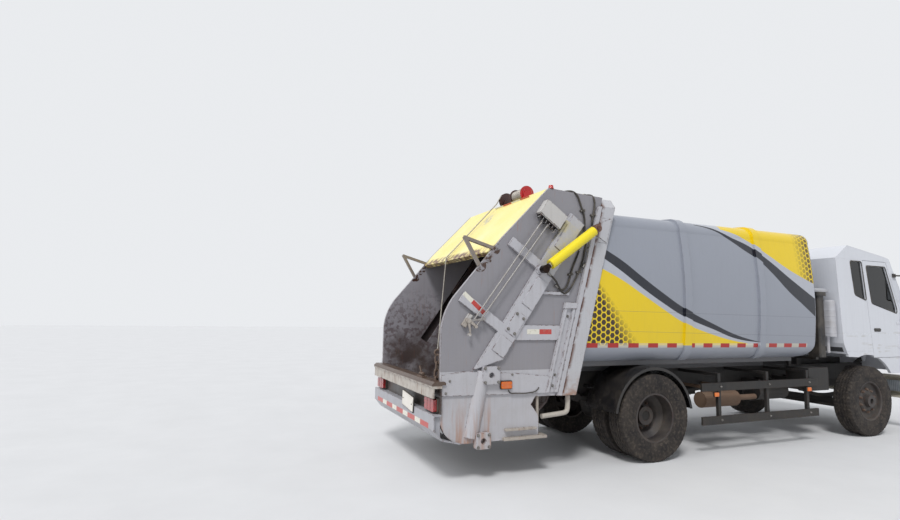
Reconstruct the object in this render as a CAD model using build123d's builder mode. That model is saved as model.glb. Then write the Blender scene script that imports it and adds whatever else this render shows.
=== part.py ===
from build123d import *
import os
from math import cos, hypot, radians, sin

# Rear-loading garbage truck, in millimetres: +X forward, +Y left, +Z up.
# The origin is on the ground, at the middle of the length and of the width.

# Wheels and overall length
WHEELBASE = 4280
REAR_OVERHANG = 2925
FRONT_OVERHANG = 1285
TYRE_R = 525
TYRE_W = 262
RIM_R = 286
RIM_W = 224
FRONT_WHEEL_Y = 1000
REAR_OUTER_Y = 1020
TWIN_SPACING = 330
HUB_R = 95
SPINDLE_R = 40
REAR_SPINDLE_R = 60

# Clearances
SEAT_GAP = 0.3
PIN_GAP = 0.3
SLIDE_GAP = 0.8
RUN_GAP = 6

# Chassis
RAIL_OUT = 425
RAIL_FLANGE = 80
RAIL_WALL = 8
RAIL_TOP = 1030
RAIL_DEEP = 250
RAIL_TAIL = 1175
RAIL_NOSE = 1030
SPRING_Y = 482
SPRING_W = 74
AXLE_TUBE_R = 70

# Body
FLOOR_TOP = 1200
FLOOR_SHEET = 8
SHELL_WALL = 8
BODY_HALF = 1120
LOW_HALF = BODY_HALF - 35
LOW_CORNER_R = 205
FOOT_HALF = LOW_HALF - LOW_CORNER_R
BELLY_Z = 2080
SHOULDER_HALF = BODY_HALF - 70
SHOULDER_Z = 2860
ROOF_EDGE_HALF = BODY_HALF - 220
ROOF_EDGE_Z = 3035
ROOF_TOP = 3080
BODY_NOSE = 3100
NOSE_LOW_R = 240
NOSE_TOP_R = 130
HOOP_PLACES = (597, 1970)
HOOP_WIDE = 120
HOOP_PROUD = 26

# Rear frame and the seam that the tailgate closes on
FRAME_PROUD = 12
FRAME_HALF = BODY_HALF + FRAME_PROUD
FRAME_DEEP = 185
FRAME_CORNER = 120
SEAM_TOP_AFT = 715
SEAM_TOP_Z = 3190
SEAM_LEAN = 0.2695
FRAME_FOOT_Z = 850

# Tailgate
FLANGE_STAND = 40
SIDE_SHEET = 42
FLANGE_WIDE = 64
POST_WIDE = 150
BAND_PROUD = 20
SIDE_OUT = FRAME_HALF - FLANGE_STAND
SIDE_IN = SIDE_OUT - SIDE_SHEET
RIBS_OUT = FRAME_HALF - 4
SILL_TOP = 1050
RECESS_AFT = 2815
PANEL_SHEET = 12
CONTAINER_HOLE_R = 30
CORNER_TUBE_R = 95
CORNER_TUBE_SUNK = 45
GUIDE_PLATE = 16
HOOD_WALL = 50
TUB_AFT = 2050
TUB_Z = 1300
TUB_R = 750
TUB_SHEET = 12
HINGE_AFT = 771
HINGE_Z = SEAM_TOP_Z + 67
HINGE_PIN_R = 22

# Packer: a carriage that slides on a slope, and a blade that swings from it
SLOPE = 55.18
PIVOT_UP_AFT = 1622
PIVOT_UP_Z = 1916
BLADE_R = 720
BLADE_SIDE_GAP = 18
BLADE_HALF = SIDE_IN - BLADE_SIDE_GAP
TRAVEL = 750
SLOT_OFFSET = 173
SLOT_WIDE = 120
SLOT_DEEP = 38
HORN_R = 220
BLADE_SWING = 100
BLADE_PIN_R = 35
BLADE_ROD_Y = (-700, 700)

# Lift cylinders
LIFT_STAND = 86
LIFT_Y = FRAME_HALF + LIFT_STAND
LIFT_BARREL_R = 58
LIFT_ROD_R = 32
LIFT_TOP_AFT = 904
LIFT_TOP_Z = 2780
LIFT_LOW_AFT = 1632
LIFT_LOW_Z = 2262
LIFT_PIN_R = 24
LIFT_EYE_R = 46
LIFT_LUG = 10

# Cab
CAB_HALF = 1110
CAB_WALL = 40
CAB_BACK = 650
CAB_FLOOR_LOW = 1240
CAB_FLOOR_TOP = 1280
CAB_TOP = 2906
CAB_ROOF_DEEP = 216
CAB_ROOF_SEAM = CAB_TOP - CAB_ROOF_DEEP
SCREEN_LOW_AHEAD = 1130
SCREEN_LOW_Z = 1900
SCREEN_TOP_AHEAD = 700
SCREEN_TOP_Z = CAB_TOP - 161
DOOR_REAR_TOP = 5
DOOR_REAR_LOW = 165
DOOR_FRONT = 900
DOOR_GAP = 5
DOOR_HINGE_R = 13
DOOR_HINGE_PIN_R = 6
DOOR_HINGE_Z = (1360, 1740)
ARCH_R = 700
TILT_AHEAD = 1080
TILT_Z = 1080
TILT_PIN_R = 16

# Steering
KINGPIN_Y = 850
KINGPIN_R = 22
ARM_BACK = 200

LENGTH = REAR_OVERHANG + WHEELBASE + FRONT_OVERHANG
REAR_AXLE_X = REAR_OVERHANG - LENGTH / 2
FRONT_AXLE_X = REAR_AXLE_X + WHEELBASE
REAR_MEET_Y = REAR_OUTER_Y - TWIN_SPACING / 2


def aft(distance):
    """X of a place this far behind the rear axle."""
    return REAR_AXLE_X - distance


def fore(distance):
    """X of a place this far in front of the rear axle."""
    return REAR_AXLE_X + distance


def ahead(distance):
    """X of a place this far in front of the front axle."""
    return FRONT_AXLE_X + distance


def seam_x(z, behind=0):
    """X of the leaning seam at a height, or of a parallel line this far behind it."""
    return aft(SEAM_TOP_AFT) - SEAM_LEAN * (SEAM_TOP_Z - z) - behind


def slope_point(along, across, lowered=0):
    """Point of the packer: along the slope upward from the blade's pivot, and across it, forward."""
    way = (cos(radians(SLOPE)), sin(radians(SLOPE)))
    side = (way[1], -way[0])
    run = along - lowered
    return (
        aft(PIVOT_UP_AFT) + way[0] * run + side[0] * across,
        PIVOT_UP_Z + way[1] * run + side[1] * across,
    )


def swing_point(radius, angle, lowered=0):
    """Point on a circle about the blade's pivot, at an angle above the forward direction."""
    centre = slope_point(0, 0, lowered)
    return (centre[0] + radius * cos(radians(angle)), centre[1] + radius * sin(radians(angle)))


# Outlines that several pieces share

QUARTER = [
    (ahead(DOOR_REAR_TOP - 300), CAB_ROOF_SEAM - 30), (ahead(DOOR_REAR_TOP - 223), 2150),
    (ahead(DOOR_REAR_TOP + 40), 2070), (ahead(DOOR_REAR_TOP - 35), CAB_ROOF_SEAM - 30),
]
DOOR = [
    (ahead(DOOR_REAR_LOW), CAB_FLOOR_LOW - 60), (ahead(DOOR_FRONT), CAB_FLOOR_LOW - 60),
    (ahead(DOOR_FRONT), 1950),
    (ahead(DOOR_FRONT - 300), CAB_ROOF_SEAM - DOOR_GAP), (ahead(DOOR_REAR_TOP), CAB_ROOF_SEAM - DOOR_GAP),
]
DOOR_WINDOW = [
    (ahead(DOOR_REAR_TOP + 186), 2027), (ahead(DOOR_FRONT - 80), 1880), (ahead(DOOR_FRONT - 82), 1950),
    (ahead(DOOR_FRONT - 325), CAB_ROOF_SEAM - 88), (ahead(DOOR_REAR_TOP + 91), CAB_ROOF_SEAM - 88),
]
HOOD_APEX = (aft(1490), SEAM_TOP_Z + 40)
HOOD_MID = (aft(2102), 2604)
HOOD_LOW = (aft(2215), 2475)
WALL_RIBS = (((260, 370), -690), ((-600, -485), -815))
SIDE_BACK_AFT = 2821
SIDE_BACK_Z = 1505
SIDE_BACK_R = 700
SIDE_BACK_TURN = 40.4


def slab(points, y_low, y_high, mode=Mode.ADD):
    """Plate with a side outline, between two distances from the middle."""
    with BuildSketch(Plane.XZ.offset(-y_high)) as outline:
        with BuildLine():
            Polyline(*points, close=True)
        make_face()
    extrude(outline.sketch, amount=y_high - y_low, mode=mode)


def slab_pair(points, y_low, y_high, mode=Mode.ADD):
    """The same plate on both sides."""
    slab(points, y_low, y_high, mode)
    slab(points, -y_high, -y_low, mode)


def cross_rod(x, z, radius, y_low, y_high, mode=Mode.ADD):
    """Round bar or hole across the truck."""
    with BuildSketch(Plane.XZ.offset(-y_high)) as ring:
        with Locations((x, z)):
            Circle(radius)
    extrude(ring.sketch, amount=y_high - y_low, mode=mode)


def bar_between(start, end, width):
    """Square bar between two points."""
    path = Vector(*end) - Vector(*start)
    with BuildSketch(Plane(origin=start, x_dir=(0, 1, 0), z_dir=path)) as section:
        Rectangle(width, width)
    extrude(section.sketch, amount=path.length)


def rod_between(start, end, radius, mode=Mode.ADD):
    """Round bar between two points."""
    path = Vector(*end) - Vector(*start)
    with BuildSketch(Plane(origin=start, z_dir=path)) as ring:
        Circle(radius)
    extrude(ring.sketch, amount=path.length, mode=mode)


def upright(x_low, x_high, y_low, y_high, z_low, z_high, mode=Mode.ADD):
    """Block drawn in plan and raised between two heights."""
    with BuildSketch(Plane.XY.offset(z_low)) as plan:
        with Locations(((x_low + x_high) / 2, (y_low + y_high) / 2)):
            Rectangle(x_high - x_low, y_high - y_low)
    extrude(plan.sketch, amount=z_high - z_low, mode=mode)


def save(piece, name):
    """Label a finished piece and write it."""
    piece.part.label = name
    export_step(piece.part, f"parts/{name}.step")


def mirrored(piece):
    """The same piece for the other side of the truck."""
    with BuildPart() as other:
        mirror(piece.part, about=Plane.XZ)
    return other


# Wheels


def spin(points, x, y):
    """Turned piece on a wheel's axis: points are (outward along the axle, radius)."""
    with BuildSketch(Plane(origin=(x, y, TYRE_R), x_dir=(0, 1, 0), z_dir=(1, 0, 0))) as half:
        with BuildLine():
            Polyline(*points, close=True)
        make_face()
    revolve(half.sketch, axis=Axis((x, y, TYRE_R), (0, 1, 0)))


def tyre(x, y):
    """Tyre with its bead on the rim."""
    half = TYRE_W / 2
    bead = RIM_W / 2 - 18
    seat = RIM_R + SEAT_GAP
    outline = [
        (-bead, seat), (-half + 6, 345), (-half, 400), (-half + 8, 470), (-half + 24, TYRE_R - 12),
        (-half + 44, TYRE_R), (half - 44, TYRE_R), (half - 24, TYRE_R - 12), (half - 8, 470),
        (half, 400), (half - 6, 345), (bead, seat),
    ]
    spin(outline, x, y)


def make_front_tyre():
    with BuildPart() as front_tyre:
        tyre(FRONT_AXLE_X, FRONT_WHEEL_Y)
    return front_tyre


def make_rear_tyres():
    with BuildPart() as rear_tyres:
        tyre(REAR_AXLE_X, REAR_OUTER_Y)
        tyre(REAR_AXLE_X, REAR_OUTER_Y - TWIN_SPACING)
    return rear_tyres


def make_front_rim():
    """Bowl-shaped disc that stands out, on a deep rim, with its hub."""
    edge = RIM_W / 2
    lip = RIM_R + 12
    with BuildPart() as front_rim:
        outline = [
            (-edge, lip), (-edge + 10, lip), (-edge + 14, RIM_R), (edge - 14, RIM_R), (edge - 10, lip),
            (edge, lip), (edge, RIM_R - 2), (edge - 10, RIM_R - 12), (60, RIM_R - 16), (48, 180),
            (72, 150), (72, HUB_R), (130, HUB_R), (130, 40), (112, 40),
            (112, SPINDLE_R + PIN_GAP), (-35, SPINDLE_R + PIN_GAP), (-35, HUB_R), (58, HUB_R),
            (58, 142), (34, 172), (44, RIM_R - 16), (-edge + 12, RIM_R - 14), (-edge, RIM_R - 4),
        ]
        spin(outline, FRONT_AXLE_X, FRONT_WHEEL_Y)
    return front_rim


def make_rear_rims():
    """Two rims whose discs meet between the twin tyres, on one hub."""
    edge = RIM_W / 2
    lip = RIM_R + 12
    meet = TWIN_SPACING / 2
    bore = REAR_SPINDLE_R + PIN_GAP
    outer = [
        (edge, lip), (edge - 10, lip), (edge - 14, RIM_R), (-edge + 14, RIM_R), (-edge + 10, lip),
        (-edge, lip), (-edge, RIM_R - 6), (-edge + 14, RIM_R - 14), (-60, RIM_R - 16), (-edge, 225),
        (-meet, 190), (-meet, bore), (-meet + 120, bore), (-meet + 120, HUB_R + 20),
        (-meet + 12, HUB_R + 20), (-meet + 12, 180), (-edge + 12, 214), (-44, RIM_R - 12),
        (edge, RIM_R - 12),
    ]
    inner = [(-a, r) for a, r in outer]
    with BuildPart() as rear_rims:
        spin(outer, REAR_AXLE_X, REAR_OUTER_Y)
        spin(inner, REAR_AXLE_X, REAR_OUTER_Y - TWIN_SPACING)
    return rear_rims


# Axles and steering


def make_front_axle():
    """Dropped beam with a round eye for each kingpin."""
    middle_low = 390
    middle_high = 500
    eye_low = 470
    eye_high = 580
    with BuildPart() as front_axle:
        with BuildSketch(Plane.YZ.offset(FRONT_AXLE_X - 35)) as beam:
            with BuildLine():
                Polyline(
                    (-KINGPIN_Y, eye_high), (-760, eye_high), (-640, middle_high), (640, middle_high),
                    (760, eye_high), (KINGPIN_Y, eye_high), (KINGPIN_Y, eye_low), (770, eye_low),
                    (670, middle_low), (-670, middle_low), (-770, eye_low), (-KINGPIN_Y, eye_low),
                    close=True,
                )
            make_face()
        extrude(beam.sketch, amount=70)
        for y in (-KINGPIN_Y, KINGPIN_Y):
            with BuildSketch(Plane.XY.offset(eye_low)) as eye:
                with Locations((FRONT_AXLE_X, y)):
                    Circle(42)
            extrude(eye.sketch, amount=eye_high - eye_low)
        for y in (-KINGPIN_Y, KINGPIN_Y):
            with BuildSketch(Plane.XY.offset(eye_low)) as hole:
                with Locations((FRONT_AXLE_X, y)):
                    Circle(KINGPIN_R + PIN_GAP)
            extrude(hole.sketch, amount=eye_high - eye_low, mode=Mode.SUBTRACT)
    return front_axle


def make_knuckle():
    """Forked knuckle with its kingpin, spindle and steering arm."""
    web_in = KINGPIN_Y + 48
    web_out = KINGPIN_Y + 82
    with BuildPart() as knuckle:
        for low in (426, 584):
            upright(ahead(-44), ahead(44), KINGPIN_Y - 38, web_out, low, low + 40)
        upright(ahead(-44), ahead(44), web_in, web_out, 426, 624)
        with BuildSketch(Plane.XY.offset(426)) as pin:
            with Locations((FRONT_AXLE_X, KINGPIN_Y)):
                Circle(KINGPIN_R)
        extrude(pin.sketch, amount=198)
        cross_rod(FRONT_AXLE_X, TYRE_R, SPINDLE_R, web_out, FRONT_WHEEL_Y + 108)
        with BuildSketch(Plane.XY.offset(430)) as arm:
            with BuildLine():
                Polyline(
                    (ahead(-40), KINGPIN_Y - 30), (ahead(-40), KINGPIN_Y + 30),
                    (ahead(-ARM_BACK), KINGPIN_Y + 18), (ahead(-ARM_BACK), KINGPIN_Y - 18), close=True,
                )
            make_face()
            with Locations((ahead(-ARM_BACK), KINGPIN_Y)):
                Circle(24)
                Circle(12 + PIN_GAP, mode=Mode.SUBTRACT)
        extrude(arm.sketch, amount=28)
    return knuckle


def make_tie_rod():
    """Bar between the two steering arms, with an upright pin at each end."""
    with BuildPart() as tie_rod:
        cross_rod(ahead(-ARM_BACK), 405, 18, -KINGPIN_Y, KINGPIN_Y)
        with BuildSketch(Plane.XY.offset(405)) as pins:
            with Locations((ahead(-ARM_BACK), KINGPIN_Y), (ahead(-ARM_BACK), -KINGPIN_Y)):
                Circle(12)
        extrude(pins.sketch, amount=56)
    return tie_rod


def make_rear_axle():
    """Housing with its round middle, spring seats, spindles and the shaft from the gearbox."""
    seat_top = 600
    with BuildPart() as rear_axle:
        cross_rod(REAR_AXLE_X, TYRE_R, AXLE_TUBE_R, -590, 590)
        cross_rod(REAR_AXLE_X, TYRE_R, REAR_SPINDLE_R, -REAR_MEET_Y - 110, REAR_MEET_Y + 110)
        with BuildSketch(Plane.XZ.offset(-150)) as bowl:
            with Locations((REAR_AXLE_X, TYRE_R)):
                Circle(200)
        extrude(bowl.sketch, amount=300)
        chamfer(rear_axle.part.edges().filter_by(GeomType.CIRCLE).filter_by(
            lambda edge: abs(edge.radius - 200) < 1), length=55)
        rod_between((REAR_AXLE_X + 180, 0, TYRE_R), (ahead(-1005), 0, 800), 50)
        for y in (-SPRING_Y, SPRING_Y):
            upright(REAR_AXLE_X - 80, REAR_AXLE_X + 80, y - SPRING_W / 2, y + SPRING_W / 2, TYRE_R, seat_top)
    return rear_axle


def spring(x, seat_z, eye_z, half_length, leaf_stack):
    """Bowed spring on both sides, with its hangers on the rails."""
    low = SPRING_Y - SPRING_W / 2
    high = SPRING_Y + SPRING_W / 2
    with BuildSketch(Plane.XZ.offset(-high)) as bow:
        with BuildLine():
            ThreePointArc((x - half_length, eye_z), (x, seat_z), (x + half_length, eye_z))
            Line((x + half_length, eye_z), (x + half_length, eye_z + leaf_stack / 2))
            ThreePointArc(
                (x + half_length, eye_z + leaf_stack / 2), (x, seat_z + leaf_stack),
                (x - half_length, eye_z + leaf_stack / 2),
            )
            Line((x - half_length, eye_z + leaf_stack / 2), (x - half_length, eye_z))
        make_face()
    extrude(bow.sketch, amount=high - low)
    for end in (x - half_length, x + half_length):
        cross_rod(end, eye_z + leaf_stack / 4, leaf_stack / 2 + 6, low, high)
        hanger = [
            (end - 34, eye_z + 20), (end + 34, eye_z + 20), (end + 60, RAIL_TOP - 60),
            (end - 60, RAIL_TOP - 60),
        ]
        slab(hanger, RAIL_OUT, RAIL_OUT + 20)
        cross_rod(end, eye_z + leaf_stack / 4, 20, RAIL_OUT, low)


def make_leaf_springs():
    """Four springs, drawn on the left and mirrored."""
    with BuildPart() as leaf_springs:
        spring(REAR_AXLE_X, 600, 690, 700, 90)
        spring(FRONT_AXLE_X, 500, 640, 640, 60)
        mirror(about=Plane.XZ)
    return leaf_springs


# Chassis


def make_chassis_frame():
    """Two channel rails with cross members, cab posts and the brackets of the cab's pivot."""
    low = RAIL_TOP - RAIL_DEEP
    inner = RAIL_OUT - RAIL_FLANGE
    tail = aft(RAIL_TAIL)
    nose = ahead(RAIL_NOSE)
    with BuildPart() as chassis_frame:
        with BuildSketch(Plane.YZ.offset(tail)) as channels:
            for side in (-1, 1):
                with BuildLine():
                    Polyline(
                        (side * inner, low), (side * RAIL_OUT, low), (side * RAIL_OUT, RAIL_TOP),
                        (side * inner, RAIL_TOP), (side * inner, RAIL_TOP - RAIL_WALL),
                        (side * (RAIL_OUT - RAIL_WALL), RAIL_TOP - RAIL_WALL),
                        (side * (RAIL_OUT - RAIL_WALL), low + RAIL_WALL), (side * inner, low + RAIL_WALL),
                        close=True,
                    )
                make_face()
        extrude(channels.sketch, amount=nose - tail)
        web = RAIL_OUT - RAIL_WALL
        for x in (tail + 60, fore(-760), fore(800), fore(1800), fore(2700), nose - 120):
            upright(x - 40, x + 40, -web, web, low + 40, low + 110)
        for side in (-1, 1):
            y = side * (RAIL_OUT - RAIL_FLANGE / 2)
            upright(
                ahead(-640), ahead(-560), y - RAIL_FLANGE / 2, y + RAIL_FLANGE / 2,
                RAIL_TOP, CAB_FLOOR_LOW - SEAT_GAP,
            )
            bracket = [
                (ahead(RAIL_NOSE - 150), RAIL_TOP), (ahead(RAIL_NOSE), RAIL_TOP),
                (ahead(TILT_AHEAD + 20), TILT_Z - 30), (ahead(TILT_AHEAD + 36), TILT_Z),
                (ahead(TILT_AHEAD + 18), TILT_Z + 32), (ahead(TILT_AHEAD - 18), TILT_Z + 32),
            ]
            slab(bracket, y - 18, y + 18)
            cross_rod(ahead(TILT_AHEAD), TILT_Z, TILT_PIN_R + PIN_GAP, y - 18, y + 18, Mode.SUBTRACT)
    return chassis_frame


def make_engine_block():
    """Engine and gearbox as one plain block at their real place."""
    with BuildPart() as engine_block:
        outline = [
            (ahead(-1000), 720), (ahead(-420), 690), (ahead(-400), 640), (ahead(560), 640),
            (ahead(620), 760), (ahead(620), 1120), (ahead(-400), 1120), (ahead(-1000), 900),
        ]
        slab(outline, -320, 320)
    return engine_block


def make_side_tanks():
    """Fuel tank on the left and air tanks on the right, with their straps to the rails."""
    with BuildPart() as side_tanks:
        with BuildSketch(Plane.YZ.offset(fore(1150))) as section:
            with Locations((760, 760)):
                RectangleRounded(440, 460, 90)
        extrude(section.sketch, amount=1100)
        for x in (fore(1300), fore(2050)):
            upright(x - 30, x + 30, RAIL_OUT, 560, 800, 960)
        rod_between((fore(2250), -700, 700), (fore(2850), -700, 700), 125)
        for x in (fore(2400), fore(2700)):
            upright(x - 25, x + 25, -620, -RAIL_OUT, 790, 860)
            upright(x - 25, x + 25, -700, -620, 700, 860)
    return side_tanks


def make_battery_box():
    """Box behind the right front wheel, on two arms from the rail."""
    with BuildPart() as battery_box:
        upright(fore(2960), fore(3400), -1060, -720, 720, 1050)
        fillet(battery_box.part.edges().filter_by(Axis.Y), radius=20)
        for x in (fore(3040), fore(3300)):
            upright(x, x + 40, -720, -RAIL_OUT, 820, 880)
    return battery_box


def make_muffler():
    """Round silencer beside the right rail, with its pipe and two hangers."""
    with BuildPart() as muffler:
        rod_between((fore(1040), -860, 655), (fore(1680), -860, 655), 105)
        rod_between((fore(1680), -860, 655), (fore(2080), -860, 655), 38)
        for x in (fore(1160), fore(1540)):
            upright(x, x + 40, -860, -RAIL_OUT, 790, 830)
            upright(x, x + 40, -880, -840, 700, 790)
    return muffler


def make_side_guards():
    """Two rails on each side between the wheels, on posts with arms to the chassis."""
    face = 1118
    half = 52
    with BuildPart() as side_guards:
        for z in (430, 855):
            upright(fore(800), fore(3060), face - 28, face, z - half, z + half)
        for x in (fore(1137), fore(2050), fore(2880)):
            upright(x - 25, x + 25, face - 70, face - 28, 430 - half, 855 + half)
            upright(x - 25, x + 25, RAIL_OUT, face - 70, 990, 1026)
            upright(x - 25, x + 25, face - 70, face - 28, 855 + half, 1026)
        mirror(about=Plane.XZ)
    return side_guards


def make_mudguards():
    """Bent sheet over each pair of rear tyres, with stays to the rails."""
    inner = 600
    outer = inner + 8
    low = 560
    high = 1140
    with BuildPart() as mudguards:
        with BuildSketch(Plane.XZ.offset(-high)) as band:
            with BuildLine():
                start = radians(8)
                top = (REAR_AXLE_X, TYRE_R + outer)
                first = (REAR_AXLE_X + outer * cos(start), TYRE_R + outer * sin(start))
                last = (REAR_AXLE_X - outer * cos(start), TYRE_R + outer * sin(start))
                ThreePointArc(first, top, last)
                first_in = (REAR_AXLE_X + inner * cos(start), TYRE_R + inner * sin(start))
                last_in = (REAR_AXLE_X - inner * cos(start), TYRE_R + inner * sin(start))
                Line(last, last_in)
                ThreePointArc(last_in, (REAR_AXLE_X, TYRE_R + inner), first_in)
                Line(first_in, first)
            make_face()
        extrude(band.sketch, amount=high - low)
        with BuildSketch(Plane.XZ.offset(-high)) as lip:
            with Locations((REAR_AXLE_X, TYRE_R)):
                Circle(inner)
                Circle(inner - 26, mode=Mode.SUBTRACT)
        extrude(lip.sketch, amount=8)
        below = TYRE_R + inner * sin(radians(8))
        upright(aft(1000), fore(1000), high - 9, high + 1, below - 2 * inner, below, Mode.SUBTRACT)
        for angle in (32, 148):
            x = REAR_AXLE_X + (inner + 4) * cos(radians(angle))
            z = TYRE_R + (inner + 4) * sin(radians(angle))
            cross_rod(x, z, 22, RAIL_OUT, low + 60)
        mirror(about=Plane.XZ)
    return mudguards


def make_air_intake():
    """Duct that rises behind the cab on the right, on an arm from the rail."""
    room = ahead(-CAB_BACK) - fore(BODY_NOSE)
    deep = 0.28 * room
    x = fore(BODY_NOSE) + 0.6 * room
    y = 210 - CAB_HALF
    foot = CAB_FLOOR_LOW - 50
    with BuildPart() as air_intake:
        with BuildSketch(Plane.XY.offset(foot)) as duct:
            with Locations((x, y)):
                RectangleRounded(deep, 200, deep / 5)
        extrude(duct.sketch, amount=920)
        with BuildSketch(Plane.XY.offset(foot + 920)) as cap:
            with Locations((x, y)):
                RectangleRounded(1.4 * deep, 250, deep / 4)
        extrude(cap.sketch, amount=60)
        upright(x - 0.2 * deep, x + 0.2 * deep, y, -RAIL_OUT, foot - 40, foot)
        upright(x - 0.2 * deep, x + 0.2 * deep, -RAIL_OUT - 40, -RAIL_OUT, RAIL_TOP - 130, foot - 40)
    return air_intake


def make_front_bumper():
    """Deep bumper that wraps round the corners, on arms from the rails."""
    back = ahead(1140)
    nose = ahead(FRONT_OVERHANG)
    with BuildPart() as front_bumper:
        outline = [
            (back, 500), (nose - 30, 480), (nose, 540), (nose, 800), (nose - 30, 862), (back, 862),
        ]
        slab(outline, -1130, 1130)
        hollow = [
            (back, 530), (nose - 60, 520), (nose - 36, 560), (nose - 36, 790), (nose - 60, 830), (back, 830),
        ]
        slab(hollow, -1095, 1095, Mode.SUBTRACT)
        for side in (-1, 1):
            upright(
                ahead(RAIL_NOSE), nose - 36, side * 385 - 40, side * 385 + 40, 790, 829,
            )
            with BuildSketch(Plane.YZ.offset(nose - 120)) as pocket:
                with Locations((side * 840, 680)):
                    RectangleRounded(360, 180, 40)
            extrude(pocket.sketch, amount=200, mode=Mode.SUBTRACT)
    return front_bumper


def make_headlamps():
    """Lamp in each end of the bumper, flush with its face."""
    nose = ahead(FRONT_OVERHANG)
    with BuildPart() as headlamps:
        for side in (-1, 1):
            with BuildSketch(Plane.YZ.offset(nose - 90)) as lamp:
                with Locations((side * 840, 680)):
                    RectangleRounded(360, 180, 40)
            extrude(lamp.sketch, amount=86)
    return headlamps


# Body


def body_section(x, inset, amount, mode=Mode.ADD):
    """Length of the body's barrel section, moved in by a wall."""
    radius = LOW_CORNER_R - inset
    foot = (FOOT_HALF, FLOOR_TOP + inset)
    corner = (FOOT_HALF + radius * cos(radians(45)), FLOOR_TOP + LOW_CORNER_R - radius * sin(radians(45)))
    low = (LOW_HALF - inset, FLOOR_TOP + LOW_CORNER_R)
    belly = (BODY_HALF - inset, BELLY_Z)
    shoulder = (SHOULDER_HALF - inset, SHOULDER_Z)
    bend = ((SHOULDER_HALF + ROOF_EDGE_HALF) / 2 + 38 - 0.7 * inset,
            (SHOULDER_Z + ROOF_EDGE_Z) / 2 + 32 - 0.7 * inset)
    edge = (ROOF_EDGE_HALF, ROOF_EDGE_Z - inset)
    with BuildSketch(Plane.YZ.offset(x)) as section:
        with BuildLine():
            for side in (-1, 1):
                ThreePointArc((side * foot[0], foot[1]), (side * corner[0], corner[1]), (side * low[0], low[1]))
                ThreePointArc((side * low[0], low[1]), (side * belly[0], belly[1]),
                              (side * shoulder[0], shoulder[1]))
                ThreePointArc((side * shoulder[0], shoulder[1]), (side * bend[0], bend[1]),
                              (side * edge[0], edge[1]))
            ThreePointArc((-edge[0], edge[1]), (0, ROOF_TOP - inset), edge)
            Line((-foot[0], foot[1]), foot)
        make_face()
    extrude(section.sketch, amount=amount, mode=mode)


def body_room(x, amount):
    """Take out the load space: the section inside the skin, open down to the floor."""
    body_section(x, SHELL_WALL, amount, Mode.SUBTRACT)
    upright(x, x + amount, -FOOT_HALF + SHELL_WALL, FOOT_HALF - SHELL_WALL,
            FLOOR_TOP - 1, FLOOR_TOP + SHELL_WALL + 1, Mode.SUBTRACT)


def nose_profile(inset, mode):
    """Side outline of the body with its rounded front, moved in by a wall."""
    start = aft(1400)
    nose = fore(BODY_NOSE)
    low = FLOOR_TOP + inset
    top = ROOF_TOP + 60 - inset
    top_r = NOSE_TOP_R + 60 - inset
    low_r = NOSE_LOW_R - inset
    low_centre = (nose - NOSE_LOW_R, FLOOR_TOP + NOSE_LOW_R)
    top_centre = (nose - NOSE_TOP_R - 60, ROOF_TOP - NOSE_TOP_R)
    turn = radians(45)
    with BuildSketch(Plane.XZ.offset(-1500)) as outline:
        with BuildLine():
            Line((start, low), (low_centre[0], low))
            ThreePointArc(
                (low_centre[0], low), (low_centre[0] + low_r * cos(turn), low_centre[1] - low_r * sin(turn)),
                (low_centre[0] + low_r, low_centre[1]),
            )
            Line((low_centre[0] + low_r, low_centre[1]), (top_centre[0] + top_r, top_centre[1]))
            ThreePointArc(
                (top_centre[0] + top_r, top_centre[1]),
                (top_centre[0] + top_r * cos(turn), top_centre[1] + top_r * sin(turn)), (top_centre[0], top),
            )
            Line((top_centre[0], top), (start, top))
            Line((start, top), (start, low))
        make_face()
    extrude(outline.sketch, amount=3000, mode=mode)


def cut_behind(face_behind):
    """Take away what lies behind a line parallel to the seam."""
    far = aft(4000)
    low = 0
    high = 4000
    slab(
        [(seam_x(low, face_behind), low), (seam_x(high, face_behind), high), (far, high), (far, low)],
        -2000, 2000, Mode.SUBTRACT,
    )


def make_body_shell():
    """Barrel-sided walls and roof in one skin with a rounded front, and two hoops round it."""
    start = aft(1400)
    nose = fore(BODY_NOSE)
    with BuildPart() as room:
        body_section(start, SHELL_WALL, nose - start)
        nose_profile(SHELL_WALL, Mode.INTERSECT)
    with BuildPart() as body_shell:
        body_section(start, 0, nose - start)
        for place in HOOP_PLACES:
            body_section(fore(place) - HOOP_WIDE / 2, -HOOP_PROUD, HOOP_WIDE)
        nose_profile(0, Mode.INTERSECT)
        add(room.part, mode=Mode.SUBTRACT)
        upright(
            start, nose - NOSE_LOW_R, -FOOT_HALF + SHELL_WALL, FOOT_HALF - SHELL_WALL,
            FLOOR_TOP, FLOOR_TOP + SHELL_WALL + 1, Mode.SUBTRACT,
        )
        upright(nose - SHELL_WALL, nose + 100, -1500, 1500, FLOOR_TOP, 4000, Mode.SUBTRACT)
        cut_behind(-FRAME_DEEP)
    return body_shell


def make_body_front_wall():
    """Flat plate on the skin's front edge, with two upright stiffeners outside."""
    nose = fore(BODY_NOSE)
    with BuildPart() as body_front_wall:
        body_section(nose - SHELL_WALL, 0, SHELL_WALL)
        nose_profile(0, Mode.INTERSECT)
        for y in (-500, 500):
            upright(nose, nose + 60, y - 50, y + 50, FLOOR_TOP + NOSE_LOW_R, ROOF_TOP - NOSE_TOP_R)
    return body_front_wall


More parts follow.
